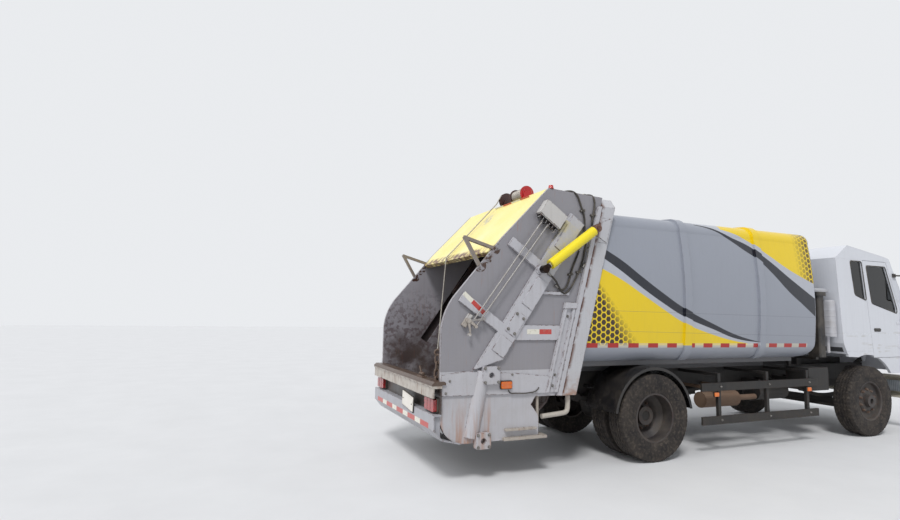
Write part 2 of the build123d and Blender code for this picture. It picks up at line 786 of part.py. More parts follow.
def make_body_floor():
    """Floor sheet on bearers over the rails, with cross bearers and a sill under each wall."""
    nose = fore(BODY_NOSE) - NOSE_LOW_R
    tail = aft(1400)
    bearer_top = FLOOR_TOP - FLOOR_SHEET
    sill_wide = 84
    sill_deep = 52
    with BuildPart() as body_floor:
        upright(tail, nose + 60, -FOOT_HALF, FOOT_HALF, bearer_top, FLOOR_TOP)
        for side in (-1, 1):
            y = side * (RAIL_OUT - RAIL_FLANGE / 2)
            upright(tail, nose, y - RAIL_FLANGE / 2, y + RAIL_FLANGE / 2, RAIL_TOP, bearer_top)
            edge = side * (FOOT_HALF - sill_wide / 2)
            upright(
                tail, nose, edge - sill_wide / 2, edge + sill_wide / 2, bearer_top - sill_deep, bearer_top,
            )
        count = 8
        first = aft(900)
        for i in range(count):
            x = first + (nose - first - 60) * i / (count - 1)
            reach = FOOT_HALF - sill_wide
            upright(x, x + 50, -reach, reach, bearer_top - sill_deep, bearer_top)
        cut_behind(-FRAME_DEEP)
    return body_floor


def make_body_rear_frame():
    """Leaning frame round the body's mouth, with the tailgate's hinge lugs and the lift pins."""
    far_low = aft(1600)
    length = 1300
    near = aft(0)
    top_half = FRAME_HALF - FRAME_CORNER
    with BuildPart() as body_rear_frame:
        with BuildSketch(Plane.YZ.offset(far_low)) as ring:
            with BuildLine():
                Polyline(
                    (-FRAME_HALF, FRAME_FOOT_Z), (FRAME_HALF, FRAME_FOOT_Z),
                    (FRAME_HALF, SEAM_TOP_Z - FRAME_CORNER), (top_half, SEAM_TOP_Z), (-top_half, SEAM_TOP_Z),
                    (-FRAME_HALF, SEAM_TOP_Z - FRAME_CORNER), close=True,
                )
            make_face()
        extrude(ring.sketch, amount=length)
        body_room(far_low, length)
        upright(
            far_low, far_low + length, -940, 940, FRAME_FOOT_Z - 10, RAIL_TOP + SEAT_GAP, Mode.SUBTRACT,
        )
        cut_behind(0)
        slab(
            [
                (seam_x(0, -FRAME_DEEP), 0), (seam_x(4000, -FRAME_DEEP), 4000), (near, 4000), (near, 0),
            ],
            -2000, 2000, Mode.SUBTRACT,
        )
        eye_x = aft(HINGE_AFT)
        lug = [
            (seam_x(SEAM_TOP_Z) + FRAME_DEEP - 4, SEAM_TOP_Z - 12), (eye_x + 84, SEAM_TOP_Z - 12),
            (eye_x + 8, HINGE_Z - 36), (eye_x - 28, HINGE_Z - 28), (eye_x - 40, HINGE_Z),
            (eye_x - 28, HINGE_Z + 28), (eye_x, HINGE_Z + 40), (eye_x + 36, HINGE_Z + 30),
        ]
        slab_pair(lug, 700, 735)
        for low, high in ((-735, -700), (700, 735)):
            cross_rod(eye_x, HINGE_Z, HINGE_PIN_R + PIN_GAP, low, high, Mode.SUBTRACT)
        lift_lugs()
    return body_rear_frame


def lift_lugs():
    """Lug on each side of the frame that carries a lift cylinder's pin past the tailgate's flange."""
    x = aft(LIFT_TOP_AFT)
    z = LIFT_TOP_Z
    seat = [
        (seam_x(z + 150, -FRAME_DEEP + 30), z + 150), (seam_x(z + 150, -20), z + 150),
        (seam_x(z - 150, -20), z - 150), (seam_x(z - 150, -FRAME_DEEP + 30), z - 150),
    ]
    plate = [
        seat[0], (x, z + LIFT_EYE_R), (x - LIFT_EYE_R, z + LIFT_EYE_R / 2),
        (x - LIFT_EYE_R, z - LIFT_EYE_R / 2), (x, z - LIFT_EYE_R), seat[3],
    ]
    face = FRAME_HALF + RUN_GAP
    slab_pair(seat, FRAME_HALF - 2, face)
    slab_pair(plate, face, face + LIFT_LUG)
    for low, high in ((face, LIFT_Y + 38), (-LIFT_Y - 38, -face)):
        cross_rod(x, z, LIFT_PIN_R, low, high)


# Cab


def cab_points(inset):
    """Side outline of the cab, moved in by the wall."""
    i = inset
    return [
        (ahead(90 - CAB_BACK + i), 1400 + 0.3 * i), (ahead(i - CAB_BACK), CAB_ROOF_SEAM + 10 - 0.3 * i),
        (ahead(-350 + 0.4 * i), CAB_TOP - i), (ahead(560 - 0.2 * i), CAB_TOP - 130 - i),
        (ahead(SCREEN_TOP_AHEAD - 0.9 * i), SCREEN_TOP_Z - 0.8 * i),
        (ahead(SCREEN_LOW_AHEAD - i), SCREEN_LOW_Z - 0.5 * i),
        (ahead(1215 - i), 1500), (ahead(1225 - i), 930 - 2 * i), (ahead(1185), 930 - 2 * i),
        (ahead(1150), CAB_FLOOR_LOW + i), (ahead(-480 + 0.4 * i), CAB_FLOOR_LOW + i),
    ]


def door_rear(z, behind=0):
    """X of the door's leaning rear edge at a height, or of a parallel line this far behind it."""
    share = (CAB_ROOF_SEAM - z) / (CAB_ROOF_SEAM - CAB_FLOOR_LOW + 60)
    return ahead(DOOR_REAR_TOP + (DOOR_REAR_LOW - DOOR_REAR_TOP) * share) - behind


def hollow_cab():
    """Whole skin of the cab with its windows, before it is parted at the panels' seams."""
    slab(cab_points(0), -CAB_HALF, CAB_HALF)
    room = [p for p in cab_points(CAB_WALL) if p[1] > CAB_FLOOR_TOP - 1]
    room.insert(7, (ahead(1180), CAB_FLOOR_TOP))
    slab(room, -CAB_HALF + CAB_WALL, CAB_HALF - CAB_WALL, Mode.SUBTRACT)
    windscreen(600, Mode.SUBTRACT)
    with BuildSketch(Plane.YZ.offset(ahead(-760))) as rear_window:
        with Locations((0, 2300)):
            RectangleRounded(1200, 420, 60)
    extrude(rear_window.sketch, amount=200, mode=Mode.SUBTRACT)
    slab(QUARTER, -CAB_HALF, CAB_HALF, Mode.SUBTRACT)


def windscreen(depth, mode):
    """Opening of the windscreen, cut straight forward."""
    low_half = CAB_HALF - 90
    top_half = CAB_HALF - 150
    with BuildSketch(Plane.YZ.offset(ahead(1250 - depth))) as opening:
        with BuildLine():
            Polyline(
                (-low_half, SCREEN_LOW_Z + 60), (low_half, SCREEN_LOW_Z + 60),
                (top_half, CAB_ROOF_SEAM - 60), (-top_half, CAB_ROOF_SEAM - 60), close=True,
            )
        make_face()
    extrude(opening.sketch, amount=depth, mode=mode)


def door_hole():
    """Both door openings, with the gap round the doors."""
    hole = [
        (door_rear(1000, DOOR_GAP), 1000), (ahead(DOOR_FRONT + DOOR_GAP), 1000),
        (ahead(DOOR_FRONT + DOOR_GAP), 1952), (ahead(DOOR_FRONT - 295), CAB_ROOF_SEAM),
        (door_rear(CAB_ROOF_SEAM, DOOR_GAP), CAB_ROOF_SEAM),
    ]
    slab_pair(hole, CAB_HALF - CAB_WALL - DOOR_GAP, CAB_HALF + 10, Mode.SUBTRACT)


def make_cab_roof():
    with BuildPart() as cab_roof:
        hollow_cab()
        split(bisect_by=Plane.XY.offset(CAB_ROOF_SEAM), keep=Keep.TOP)
    return cab_roof


def make_cab_back():
    """Rear wall with the corner panels and their small windows."""
    far = ahead(-1000)
    with BuildPart() as cab_back:
        hollow_cab()
        slab(
            [
                (far, CAB_FLOOR_TOP), (door_rear(CAB_FLOOR_TOP, DOOR_GAP), CAB_FLOOR_TOP),
                (door_rear(CAB_ROOF_SEAM, DOOR_GAP), CAB_ROOF_SEAM), (far, CAB_ROOF_SEAM),
            ],
            -CAB_HALF, CAB_HALF, Mode.INTERSECT,
        )
    return cab_back


def door_hinge(side, low, high, reach, bore):
    """Half of a door hinge: a knuckle beside the skin with its strap, over a stretch of height."""
    x = ahead(DOOR_FRONT + DOOR_GAP / 2)
    y = side * (CAB_HALF + DOOR_HINGE_R)
    with BuildSketch(Plane.XY.offset(low)) as knuckle:
        with Locations((x, y)):
            Circle(DOOR_HINGE_R)
            if bore:
                Circle(DOOR_HINGE_PIN_R + PIN_GAP, mode=Mode.SUBTRACT)
    extrude(knuckle.sketch, amount=high - low)
    skin = side * CAB_HALF
    outer = side * (CAB_HALF + 5)
    near = x + (9 if reach > 0 else -9)
    upright(min(near, x + reach), max(near, x + reach), min(skin, outer), max(skin, outer), low, high)


def make_cab_front():
    """Front panel with the windscreen's frame and the pillars."""
    with BuildPart() as cab_front:
        hollow_cab()
        split(bisect_by=Plane.XY.offset(CAB_ROOF_SEAM), keep=Keep.BOTTOM)
        door_hole()
        split(bisect_by=Plane.YZ.offset(ahead(DOOR_REAR_LOW + 60)), keep=Keep.TOP)
        floor_cut = [
            (FRONT_AXLE_X, 1000), (ahead(1146), 1000), (ahead(1146), CAB_FLOOR_TOP),
            (FRONT_AXLE_X, CAB_FLOOR_TOP),
        ]
        slab(floor_cut, -1500, 1500, Mode.SUBTRACT)
        for side in (-1, 1):
            for z in DOOR_HINGE_Z:
                door_hinge(side, z + 0.5, z + 40, 70, False)
                with BuildSketch(Plane.XY.offset(z - 40)) as pin:
                    with Locations((ahead(DOOR_FRONT + DOOR_GAP / 2), side * (CAB_HALF + DOOR_HINGE_R))):
                        Circle(DOOR_HINGE_PIN_R)
                extrude(pin.sketch, amount=60)
    return cab_front


def make_cab_floor():
    """Floor with a skirt and step over each wheel arch, and the arms of the tilt pivot."""
    nose = ahead(1146)
    with BuildPart() as cab_floor:
        hollow_cab()
        split(bisect_by=Plane.XY.offset(CAB_FLOOR_TOP), keep=Keep.BOTTOM)
        split(bisect_by=Plane.YZ.offset(nose), keep=Keep.BOTTOM)
        door_hole()
        under_door = CAB_FLOOR_LOW - 60 - DOOR_GAP
        skirt = [
            (ahead(-470), CAB_FLOOR_TOP), (ahead(-463), CAB_FLOOR_LOW - 40), (ahead(0), CAB_FLOOR_LOW - 60),
            (ahead(300), 930), (ahead(1145), 930), (ahead(1145), CAB_FLOOR_TOP),
            (ahead(DOOR_FRONT + DOOR_GAP), CAB_FLOOR_TOP), (ahead(DOOR_FRONT + DOOR_GAP), under_door),
            (door_rear(under_door, DOOR_GAP), under_door),
            (door_rear(CAB_FLOOR_TOP, DOOR_GAP), CAB_FLOOR_TOP),
        ]
        slab_pair(skirt, CAB_HALF - CAB_WALL, CAB_HALF)
        with BuildSketch(Plane.XZ.offset(-1500)) as arch:
            with Locations((FRONT_AXLE_X, TYRE_R)):
                Circle(ARCH_R)
        extrude(arch.sketch, amount=3000, mode=Mode.SUBTRACT)
        for side in (-1, 1):
            y = side * (RAIL_OUT + 2)
            arm = [
                (ahead(TILT_AHEAD - 60), CAB_FLOOR_LOW), (ahead(TILT_AHEAD - 30), TILT_Z),
                (ahead(TILT_AHEAD), TILT_Z - 30), (ahead(TILT_AHEAD + 30), TILT_Z),
                (ahead(TILT_AHEAD + 60), CAB_FLOOR_LOW),
            ]
            slab(arm, y - 16, y + 16)
            pin_low = min(side * (RAIL_OUT - RAIL_FLANGE), y)
            pin_high = max(side * (RAIL_OUT - RAIL_FLANGE), y)
            cross_rod(ahead(TILT_AHEAD), TILT_Z, TILT_PIN_R, pin_low, pin_high)
    return cab_floor


def make_cab_glass():
    """Windscreen, rear window and two corner windows."""
    lean = (SCREEN_LOW_AHEAD - SCREEN_TOP_AHEAD) / (SCREEN_TOP_Z - SCREEN_LOW_Z)

    def on_screen(z, inward):
        return ahead(SCREEN_LOW_AHEAD - lean * (z - SCREEN_LOW_Z) - inward)

    with BuildPart() as cab_glass:
        pane = [
            (on_screen(SCREEN_LOW_Z, 28), SCREEN_LOW_Z), (on_screen(SCREEN_LOW_Z, 21), SCREEN_LOW_Z),
            (on_screen(CAB_ROOF_SEAM, 21), CAB_ROOF_SEAM), (on_screen(CAB_ROOF_SEAM, 28), CAB_ROOF_SEAM),
        ]
        slab(pane, -1200, 1200)
        windscreen(800, Mode.INTERSECT)
        with BuildSketch(Plane.YZ.offset(ahead(-603))) as rear_window:
            with Locations((0, 2300)):
                RectangleRounded(1200, 420, 60)
        extrude(rear_window.sketch, amount=6)
        slab_pair(QUARTER, CAB_HALF - 24, CAB_HALF - 18)
    return cab_glass


def make_door():
    """Left door, with its window cut."""
    with BuildPart() as door:
        slab(DOOR, CAB_HALF - CAB_WALL, CAB_HALF)
        slab(DOOR_WINDOW, CAB_HALF - CAB_WALL, CAB_HALF, Mode.SUBTRACT)
        for z in DOOR_HINGE_Z:
            door_hinge(1, z - 40, z, -110, True)
    return door


def make_door_glass():
    with BuildPart() as door_glass:
        slab(DOOR_WINDOW, CAB_HALF - 24, CAB_HALF - 18)
    return door_glass


def make_seats():
    """Two seats with their bases on the floor."""
    with BuildPart() as seats:
        outline = [
            (ahead(-420), CAB_FLOOR_TOP), (ahead(60), CAB_FLOOR_TOP), (ahead(90), 1560), (ahead(150), 1600),
            (ahead(150), 1700), (ahead(-260), 1680), (ahead(-380), 2360), (ahead(-500), 2360),
            (ahead(-430), 1560),
        ]
        for y in (-520, 520):
            slab(outline, y - 250, y + 250)
        fillet(seats.part.edges().filter_by(Axis.Y).group_by(Axis.Z)[-1], radius=40)
    return seats


def make_dashboard():
    """Dashboard across the cab, with the steering column and wheel on the left."""
    with BuildPart() as dashboard:
        outline = [
            (ahead(1000), 1600), (ahead(900), 1500), (ahead(800), 1560), (ahead(780), 1750),
            (ahead(860), 1860),
            (ahead(1020), 1880), (ahead(1060), 1800),
        ]
        slab(outline, -CAB_HALF + CAB_WALL + 6, CAB_HALF - CAB_WALL - 6)
        hub = (ahead(500), 520, 1860)
        rod_between((ahead(860), 520, 1660), hub, 28)
        tilt = Plane(origin=hub, z_dir=(-0.87, 0, 0.48))
        with BuildSketch(tilt) as disc:
            Circle(70)
        extrude(disc.sketch, amount=30, both=True)
        with BuildSketch(tilt) as spokes:
            Rectangle(430, 40)
        extrude(spokes.sketch, amount=10, both=True)
        with BuildSketch(tilt) as ring:
            Circle(225)
            Circle(195, mode=Mode.SUBTRACT)
        extrude(ring.sketch, amount=15, both=True)
        upright(ahead(940), ahead(1000), -80, 80, CAB_FLOOR_TOP, 1560)
    return dashboard


def make_mirrors():
    """Mirror on a bent arm at each front pillar."""
    with BuildPart() as mirrors:
        for x, z in ((1000, 2060), (790, CAB_ROOF_SEAM - 210)):
            upright(ahead(x - 30), ahead(x + 30), CAB_HALF, CAB_HALF + 24, z - 30, z + 30)
            rod_between((ahead(x), CAB_HALF + 20, z), (ahead(1090), CAB_HALF + 120, z), 12)
        rod_between((ahead(1090), CAB_HALF + 120, 2030), (ahead(1090), CAB_HALF + 120, CAB_ROOF_SEAM - 180), 14)
        with BuildSketch(Plane.YZ.offset(ahead(1060))) as head:
            with Locations((CAB_HALF + 130, 2270)):
                RectangleRounded(190, 380, 40)
        extrude(head.sketch, amount=60)
        mirror(about=Plane.XZ)
    return mirrors


# Tailgate


def wall_plate(y_low, y_high, mode=Mode.ADD):
    """Plate with the outline of the tailgate's side wall."""
    front_top = (seam_x(SEAM_TOP_Z, RUN_GAP), SEAM_TOP_Z)
    front_low = (seam_x(FRAME_FOOT_Z, RUN_GAP), FRAME_FOOT_Z)
    centre_x = aft(SIDE_BACK_AFT - SIDE_BACK_R)

    def back(turn):
        return (
            centre_x - SIDE_BACK_R * cos(radians(turn)), SIDE_BACK_Z + SIDE_BACK_R * sin(radians(turn)),
        )

    low_back = (aft(SIDE_BACK_AFT), 700)
    low_end = (aft(2535), 400)
    with BuildSketch(Plane.XZ.offset(-y_high)) as wall:
        with BuildLine():
            Polyline(front_low, front_top, HOOD_APEX, HOOD_MID, back(SIDE_BACK_TURN))
            ThreePointArc(back(SIDE_BACK_TURN), back(SIDE_BACK_TURN / 2), back(0))
            Line(back(0), low_back)
            ThreePointArc(low_back, (aft(2736), 484), low_end)
            Polyline(
                low_end, (aft(1640), 408), (aft(1640), 645), (aft(1733), 764),
                (aft(1680), FRAME_FOOT_Z), front_low,
            )
        make_face()
    extrude(wall.sketch, amount=y_high - y_low, mode=mode)


def packer_panel(along, across, y_low, y_high, mode=Mode.ADD):
    """Plate square to the packer's slope, between two places along it and two across it."""
    corners = [
        slope_point(along[0], across[0]), slope_point(along[1], across[0]),
        slope_point(along[1], across[1]), slope_point(along[0], across[1]),
    ]
    slab(corners, y_low, y_high, mode)


def beam_plate(y_low, y_high, mode=Mode.ADD):
    """Cover beam over the packer's slot, with its lower end cut askew."""
    beam = [
        slope_point(1090, -SLOT_OFFSET - 77), slope_point(1090, -SLOT_OFFSET + 148),
        slope_point(-812, -SLOT_OFFSET + 148), slope_point(-1088, -SLOT_OFFSET - 77),
    ]
    slab(beam, y_low, y_high, mode)


def cut_side_walls():
    """Take both side walls and their foot bands out of a piece that runs over their ends."""
    wall_plate(SIDE_IN, SIDE_OUT, Mode.SUBTRACT)
    wall_plate(-SIDE_OUT, -SIDE_IN, Mode.SUBTRACT)
    foot_band(SIDE_OUT, SIDE_OUT + BAND_PROUD, Mode.SUBTRACT)
    foot_band(-SIDE_OUT - BAND_PROUD, -SIDE_OUT, Mode.SUBTRACT)


def foot_band(y_low, y_high, mode=Mode.ADD):
    """Proud band along the side wall's foot, from the post to the back edge."""
    front = FLANGE_WIDE + 100
    band = [
        (aft(SIDE_BACK_AFT), 901), (aft(SIDE_BACK_AFT), 1112), (aft(2558), 1143), (aft(1986), 1113),
        (seam_x(1062, front), 1062), (seam_x(885, front), 885),
    ]
    slab(band, y_low, y_high, mode)


def make_tailgate_side():
    """Left side wall with its flange, ribs, the beam over the packer's slot and the corner tube."""
    half = SLOT_WIDE / 2
    with BuildPart() as tailgate_side:
        wall_plate(SIDE_IN, SIDE_OUT)
        flange_and_post()
        beam_plate(SIDE_OUT, RIBS_OUT)
        for along, reach in WALL_RIBS:
            packer_panel(along, (reach, -SLOT_OFFSET - 70), SIDE_OUT, RIBS_OUT)
        for along, across, proud in (
            ((620, 1080), (-218, -34), 10), ((-170, 200), (-190, -30), 10), ((-540, -270), (-190, -45), 6),
            ((-800, -600), (-200, -34), 10),
        ):
            packer_panel(along, across, RIBS_OUT - 1, RIBS_OUT + proud)
        cross_ribs()
        packer_panel(
            (-TRAVEL - 45, 1010), (-SLOT_OFFSET - half, -SLOT_OFFSET + half),
            SIDE_IN, SIDE_IN + SLOT_DEEP + 12, Mode.SUBTRACT,
        )
        corner_tube()
        cross_rod(aft(LIFT_LOW_AFT), LIFT_LOW_Z, LIFT_EYE_R + 14, SIDE_OUT, FRAME_HALF + 8)
        cross_rod(aft(LIFT_LOW_AFT), LIFT_LOW_Z, LIFT_EYE_R, SIDE_OUT, LIFT_Y - 36)
    return tailgate_side


def flange_and_post():
    """Narrow flange along the seam, and the leaning channel post behind its lower half."""
    top = SEAM_TOP_Z - FRAME_CORNER
    post_top = 1900
    post_low = 890
    back = FLANGE_WIDE + 6
    flange = [
        (seam_x(FRAME_FOOT_Z, RUN_GAP), FRAME_FOOT_Z), (seam_x(top, RUN_GAP), top),
        (seam_x(top, FLANGE_WIDE), top), (seam_x(FRAME_FOOT_Z, FLANGE_WIDE), FRAME_FOOT_Z),
    ]
    slab(flange, SIDE_OUT, FRAME_HALF)
    for low, high, margin, proud, mode in (
        (post_low, post_top, 0, -4, Mode.ADD), (post_low, post_top, 36, 0, Mode.SUBTRACT),
        (post_top - 70, post_top, -8, 4, Mode.ADD),
    ):
        post = [
            (seam_x(low, back + margin), low), (seam_x(high, back + margin), high),
            (seam_x(high, back + POST_WIDE - margin), high), (seam_x(low, back + POST_WIDE - margin), low),
        ]
        floor = SIDE_OUT + 14 if mode == Mode.SUBTRACT else SIDE_OUT
        slab(post, floor, FRAME_HALF + proud, mode)


def cross_ribs():
    """Level stiffeners between the beam and the post, and the proud band along the wall's foot."""
    foot_band(SIDE_OUT, SIDE_OUT + BAND_PROUD)
    post_side = FLANGE_WIDE + POST_WIDE - 20
    for low, high in ((1470, 1635), (1985, 2020)):
        start = slope_point((low - PIVOT_UP_Z) / sin(radians(SLOPE)) - 80, -SLOT_OFFSET + 100)[0]
        rib = [(start, low), (start, high), (seam_x(high, post_side), high), (seam_x(low, post_side), low)]
        slab(rib, SIDE_OUT, SIDE_OUT + BAND_PROUD)


def corner_tube():
    """Round tube down the rear corner, with a square plate round a container's guide hole at each end."""
    y = SIDE_OUT - CORNER_TUBE_SUNK
    rod_between((aft(2321), y, 1143), (aft(2463), y, 454), CORNER_TUBE_R)
    inner = [(aft(2700), 300), (aft(2100), 300), (aft(2100), 1300), (aft(2700), 1300)]
    slab(inner, SIDE_IN - 150, SIDE_IN, Mode.SUBTRACT)
    face = y + CORNER_TUBE_R
    for centre_x, centre_z, width, height in ((aft(2253), 1102.5, 200, 189), (aft(2344.5), 428, 171, 166)):
        with BuildSketch(Plane.XZ.offset(-face - GUIDE_PLATE)) as plate:
            with Locations((centre_x, centre_z)):
                RectangleRounded(width, height, 18)
        extrude(plate.sketch, amount=GUIDE_PLATE + face - SIDE_OUT)
        cross_rod(centre_x, centre_z, CONTAINER_HOLE_R, SIDE_OUT, face + GUIDE_PLATE, Mode.SUBTRACT)


def tub_point(radius, angle):
    return (aft(TUB_AFT) + radius * cos(radians(angle)), TUB_Z + radius * sin(radians(angle)))


def make_hopper_tub():
    """Curved trough between the side walls, with the ramp up to the body's floor."""
    inner = TUB_R
    outer = TUB_R + TUB_SHEET
    lip = -160.5
    ramp_end = (seam_x(1180, 40), 1180)
    ramp_end_low = (seam_x(1180, 40), 1155)
    with BuildPart() as hopper_tub:
        with BuildSketch(Plane.XZ.offset(-SIDE_IN)) as sheet:
            with BuildLine():
                ThreePointArc(tub_point(inner, lip), tub_point(inner, -100), tub_point(inner, -45))
                Line(tub_point(inner, -45), ramp_end)
                Line(ramp_end, ramp_end_low)
                Line(ramp_end_low, tub_point(outer, -44))
                ThreePointArc(tub_point(outer, -44), tub_point(outer, -100), tub_point(outer, lip))
                Line(tub_point(outer, lip), tub_point(inner, lip))
            make_face()
        extrude(sheet.sketch, amount=2 * SIDE_IN)
        for y in (-700, 0, 700):
            rib = [
                tub_point(outer - 2, -125), tub_point(outer - 2, -100), tub_point(outer - 2, -75),
                (aft(TUB_AFT - 190), 470), (aft(TUB_AFT + 430), 470),
            ]
            slab(rib, y - 6, y + 6)
        front_beam = [
            (seam_x(860, RUN_GAP), 860), (seam_x(980, RUN_GAP), 980), (seam_x(980, 150), 980),
            (seam_x(860, 150), 860),
        ]
        slab(front_beam, -SIDE_IN, SIDE_IN)
    return hopper_tub


def make_tailgate_hood():
    """Top and sloping rear cover between the side walls, with the hinge lugs and their pin."""
    top_front = (seam_x(SEAM_TOP_Z, RUN_GAP), SEAM_TOP_Z)
    top_front_low = (seam_x(SEAM_TOP_Z - HOOD_WALL, RUN_GAP), SEAM_TOP_Z - HOOD_WALL)
    apex_low = (HOOD_APEX[0] + 22, HOOD_APEX[1] - HOOD_WALL)
    low_in = (HOOD_LOW[0] + 36, HOOD_LOW[1] - 34)
    mid_in = (HOOD_MID[0] + 36, HOOD_MID[1] - 34)
    with BuildPart() as tailgate_hood:
        cover = [top_front, HOOD_APEX, HOOD_MID, HOOD_LOW, low_in, mid_in, apex_low, top_front_low]
        slab(cover, -SIDE_IN, SIDE_IN)
        eye_x = aft(HINGE_AFT)
        lug = [
            (eye_x - 40, HINGE_Z), (eye_x - 28, HINGE_Z + 28), (eye_x, HINGE_Z + 40),
            (eye_x + 28, HINGE_Z + 28), (eye_x + 40, HINGE_Z), (eye_x + 20, HINGE_Z - 36),
            (eye_x - 8, SEAM_TOP_Z - 10),
            (eye_x - 260, SEAM_TOP_Z - 10), (eye_x - 260, SEAM_TOP_Z + 20),
        ]
        slab_pair(lug, 742, 780)
        for side in (-1, 1):
            cross_rod(eye_x, HINGE_Z, HINGE_PIN_R, min(side * 692, side * 760), max(side * 692, side * 760))
        slab_pair([
            (HOOD_LOW[0] - 4, HOOD_LOW[1] + 4), (HOOD_LOW[0] + 36, HOOD_LOW[1] - 34),
            (HOOD_LOW[0] + 30, HOOD_LOW[1] - 64), (HOOD_LOW[0] - 30, HOOD_LOW[1] - 34),
        ], 0, SIDE_IN)
    return tailgate_hood


def make_guard_frames():
    """Bent bar at each low corner of the hood, standing out behind it."""
    y = SIDE_IN + 20
    low = (aft(2376), y, 2278)
    tip = (aft(2553), y, 2575)
    top = (aft(2201), y, 2478)
    with BuildPart() as guard_frames:
        for foot in (low, top):
            reach = Vector(*tip) - Vector(*foot)
            bar_between(foot, tuple(Vector(*tip) + reach.normalized() * 14), 36)
        mirror(about=Plane.XZ)
        cut_side_walls()
    return guard_frames


def make_loading_sill():
    """Box sill along the hopper's rear lip, with an apron below it."""
    with BuildPart() as loading_sill:
        outline = [
            (aft(2770), 1040), (aft(2790), SILL_TOP), (aft(2895), SILL_TOP),
            (aft(REAR_OVERHANG), SILL_TOP - 25), (aft(REAR_OVERHANG), 995),
            (aft(REAR_OVERHANG - 13), 990), (aft(REAR_OVERHANG - 13), 880),
            (aft(REAR_OVERHANG - 28), 880), (aft(REAR_OVERHANG - 28), 980), (aft(2810), 980),
            (aft(2810), 1015), (aft(2770), 1015),
        ]
        slab(outline, -FRAME_HALF, FRAME_HALF)
        cut_side_walls()
    return loading_sill


def make_rear_panel():
    """Recess for the lamps below the sill, a shelf, and the lower panel with its edge turned in."""
    recess = RECESS_AFT
    top = 980 - SEAT_GAP
    face = 2900
    shelf = 715
    sheet = PANEL_SHEET
    with BuildPart() as rear_panel:
        outline = [
            (aft(recess), top), (aft(recess + sheet), top), (aft(recess + sheet), shelf), (aft(face), shelf),
            (aft(face), 560), (aft(2810), 455), (aft(2600), 405), (aft(2600), 405 + sheet),
            (aft(2803), 455 + sheet), (aft(face - sheet), 565), (aft(face - sheet), shelf - sheet),
            (aft(recess), shelf - sheet),
        ]
        slab(outline, -FRAME_HALF + 2, FRAME_HALF - 2)
        end = [(aft(2810), 455), (aft(face), 560), (aft(face), shelf), (aft(recess), shelf)]
        slab_pair(end, SIDE_OUT - sheet, SIDE_OUT)
        cut_side_walls()
    return rear_panel


def make_tail_lamps():
    """Lamp group at each end of the recess, side markers on the foot band and a lamp on the right apex."""
    back = aft(RECESS_AFT + PANEL_SHEET) - SEAT_GAP
    lens = 56
    band = SIDE_OUT + BAND_PROUD
    marker_deep = 26
    with BuildPart() as tail_lamps:
        with BuildSketch(Plane.YZ.offset(back - lens)) as lamp:
            with Locations((935, 800)):
                RectangleRounded(270, 126, 18)
        extrude(lamp.sketch, amount=lens)
        with BuildSketch(Plane.XZ.offset(-band - marker_deep)) as marker:
            with Locations((aft(2062), 992)):
                RectangleRounded(130, 74, 14)
        extrude(marker.sketch, amount=marker_deep - SEAT_GAP)
        mirror(about=Plane.XZ)
        seat_z = HOOD_APEX[1] + SEAT_GAP
        x = HOOD_APEX[0] + 40
        wall_y = -(SIDE_IN + SIDE_OUT) / 2
        with BuildSketch(Plane.XY.offset(seat_z)) as dome:
            with Locations((x, wall_y)):
                Circle(34)
        extrude(dome.sketch, amount=40, taper=12)
        upright(x - 34, x + 34, wall_y - 18, wall_y + 18, HOOD_APEX[1] - 6, seat_z + 1)
        cut_side_walls()
    return tail_lamps


def make_control_gear():
    """Valve box on the right side wall, two control rods and the levers that they end on."""
    face = -SIDE_OUT
    rod_y = face - 64
    with BuildPart() as control_gear:
        packer_panel((800, 985), (-610, -290), face - 96, face)
        packer_panel((782, 802), (-595, -305), face - 84, face - 12)
        for i in range(6):
            across = -575 + 50 * i
            for y in (rod_y + 20, rod_y - 8):
                start = slope_point(784, across)
                end = slope_point(742 - 12 * (i % 2), across)
                rod_between((start[0], y, start[1]), (end[0], y, end[1]), 9)
        for top, low in ((-515, -570), (-433, -508)):
            start = slope_point(760, top)
            end = slope_point(-720, low)
            rod_between((start[0], rod_y, start[1]), (end[0], rod_y, end[1]), 9)
        packer_panel((-790, -640), (-640, -590), face - 44, face)
        hub = slope_point(-715, -612)
        cross_rod(*hub, 26, rod_y - 16, face)
        for end in (slope_point(-720, -508), slope_point(-600, -480), slope_point(-830, -520)):
            lever = [
                (hub[0] - 14, hub[1] - 12), (hub[0] + 14, hub[1] + 12), (end[0] + 12, end[1] + 14),
                (end[0] + 12, end[1] - 14),
            ]
            slab(lever, rod_y - 10, rod_y + 10)
            cross_rod(*end, 17, rod_y - 18, rod_y + 18)
        for along, reach in WALL_RIBS:
            packer_panel(along, (reach, -SLOT_OFFSET - 70), -RIBS_OUT, -SIDE_OUT, Mode.SUBTRACT)
        beam_plate(-RIBS_OUT, -SIDE_OUT, Mode.SUBTRACT)
    return control_gear


def make_winch():
    """Rope drum with its flanges, and a sheave beside it, between cheeks on top of the hood."""
    x = aft(1370)
    z = HOOD_APEX[1] + 90
    with BuildPart() as winch:
        for y, radius in ((-420, 62), (-90, 62), (110, 40), (190, 40)):
            top = z + radius - 30
            cheek = [(x - 90, SEAM_TOP_Z), (x + 90, SEAM_TOP_Z), (x + 40, top), (x - 40, top)]
            slab(cheek, y - 8, y + 8)
        cross_rod(x, z, 66, -412, -98)
        for y in (-395, -125):
            cross_rod(x, z, 100, y - 6, y + 6)
        cross_rod(x, z, 24, 110, 190)
        for low, high, radius in ((128, 138, 108), (138, 162, 84), (162, 172, 108)):
            cross_rod(x, z, radius, low, high)
        hood_top = (seam_x(SEAM_TOP_Z, RUN_GAP), SEAM_TOP_Z)
        below_hood = [(aft(700), 2900), (aft(700), SEAM_TOP_Z), hood_top, HOOD_APEX, (aft(1600), 2900)]
        slab(below_hood, -500, 500, Mode.SUBTRACT)
    return winch


# Packer


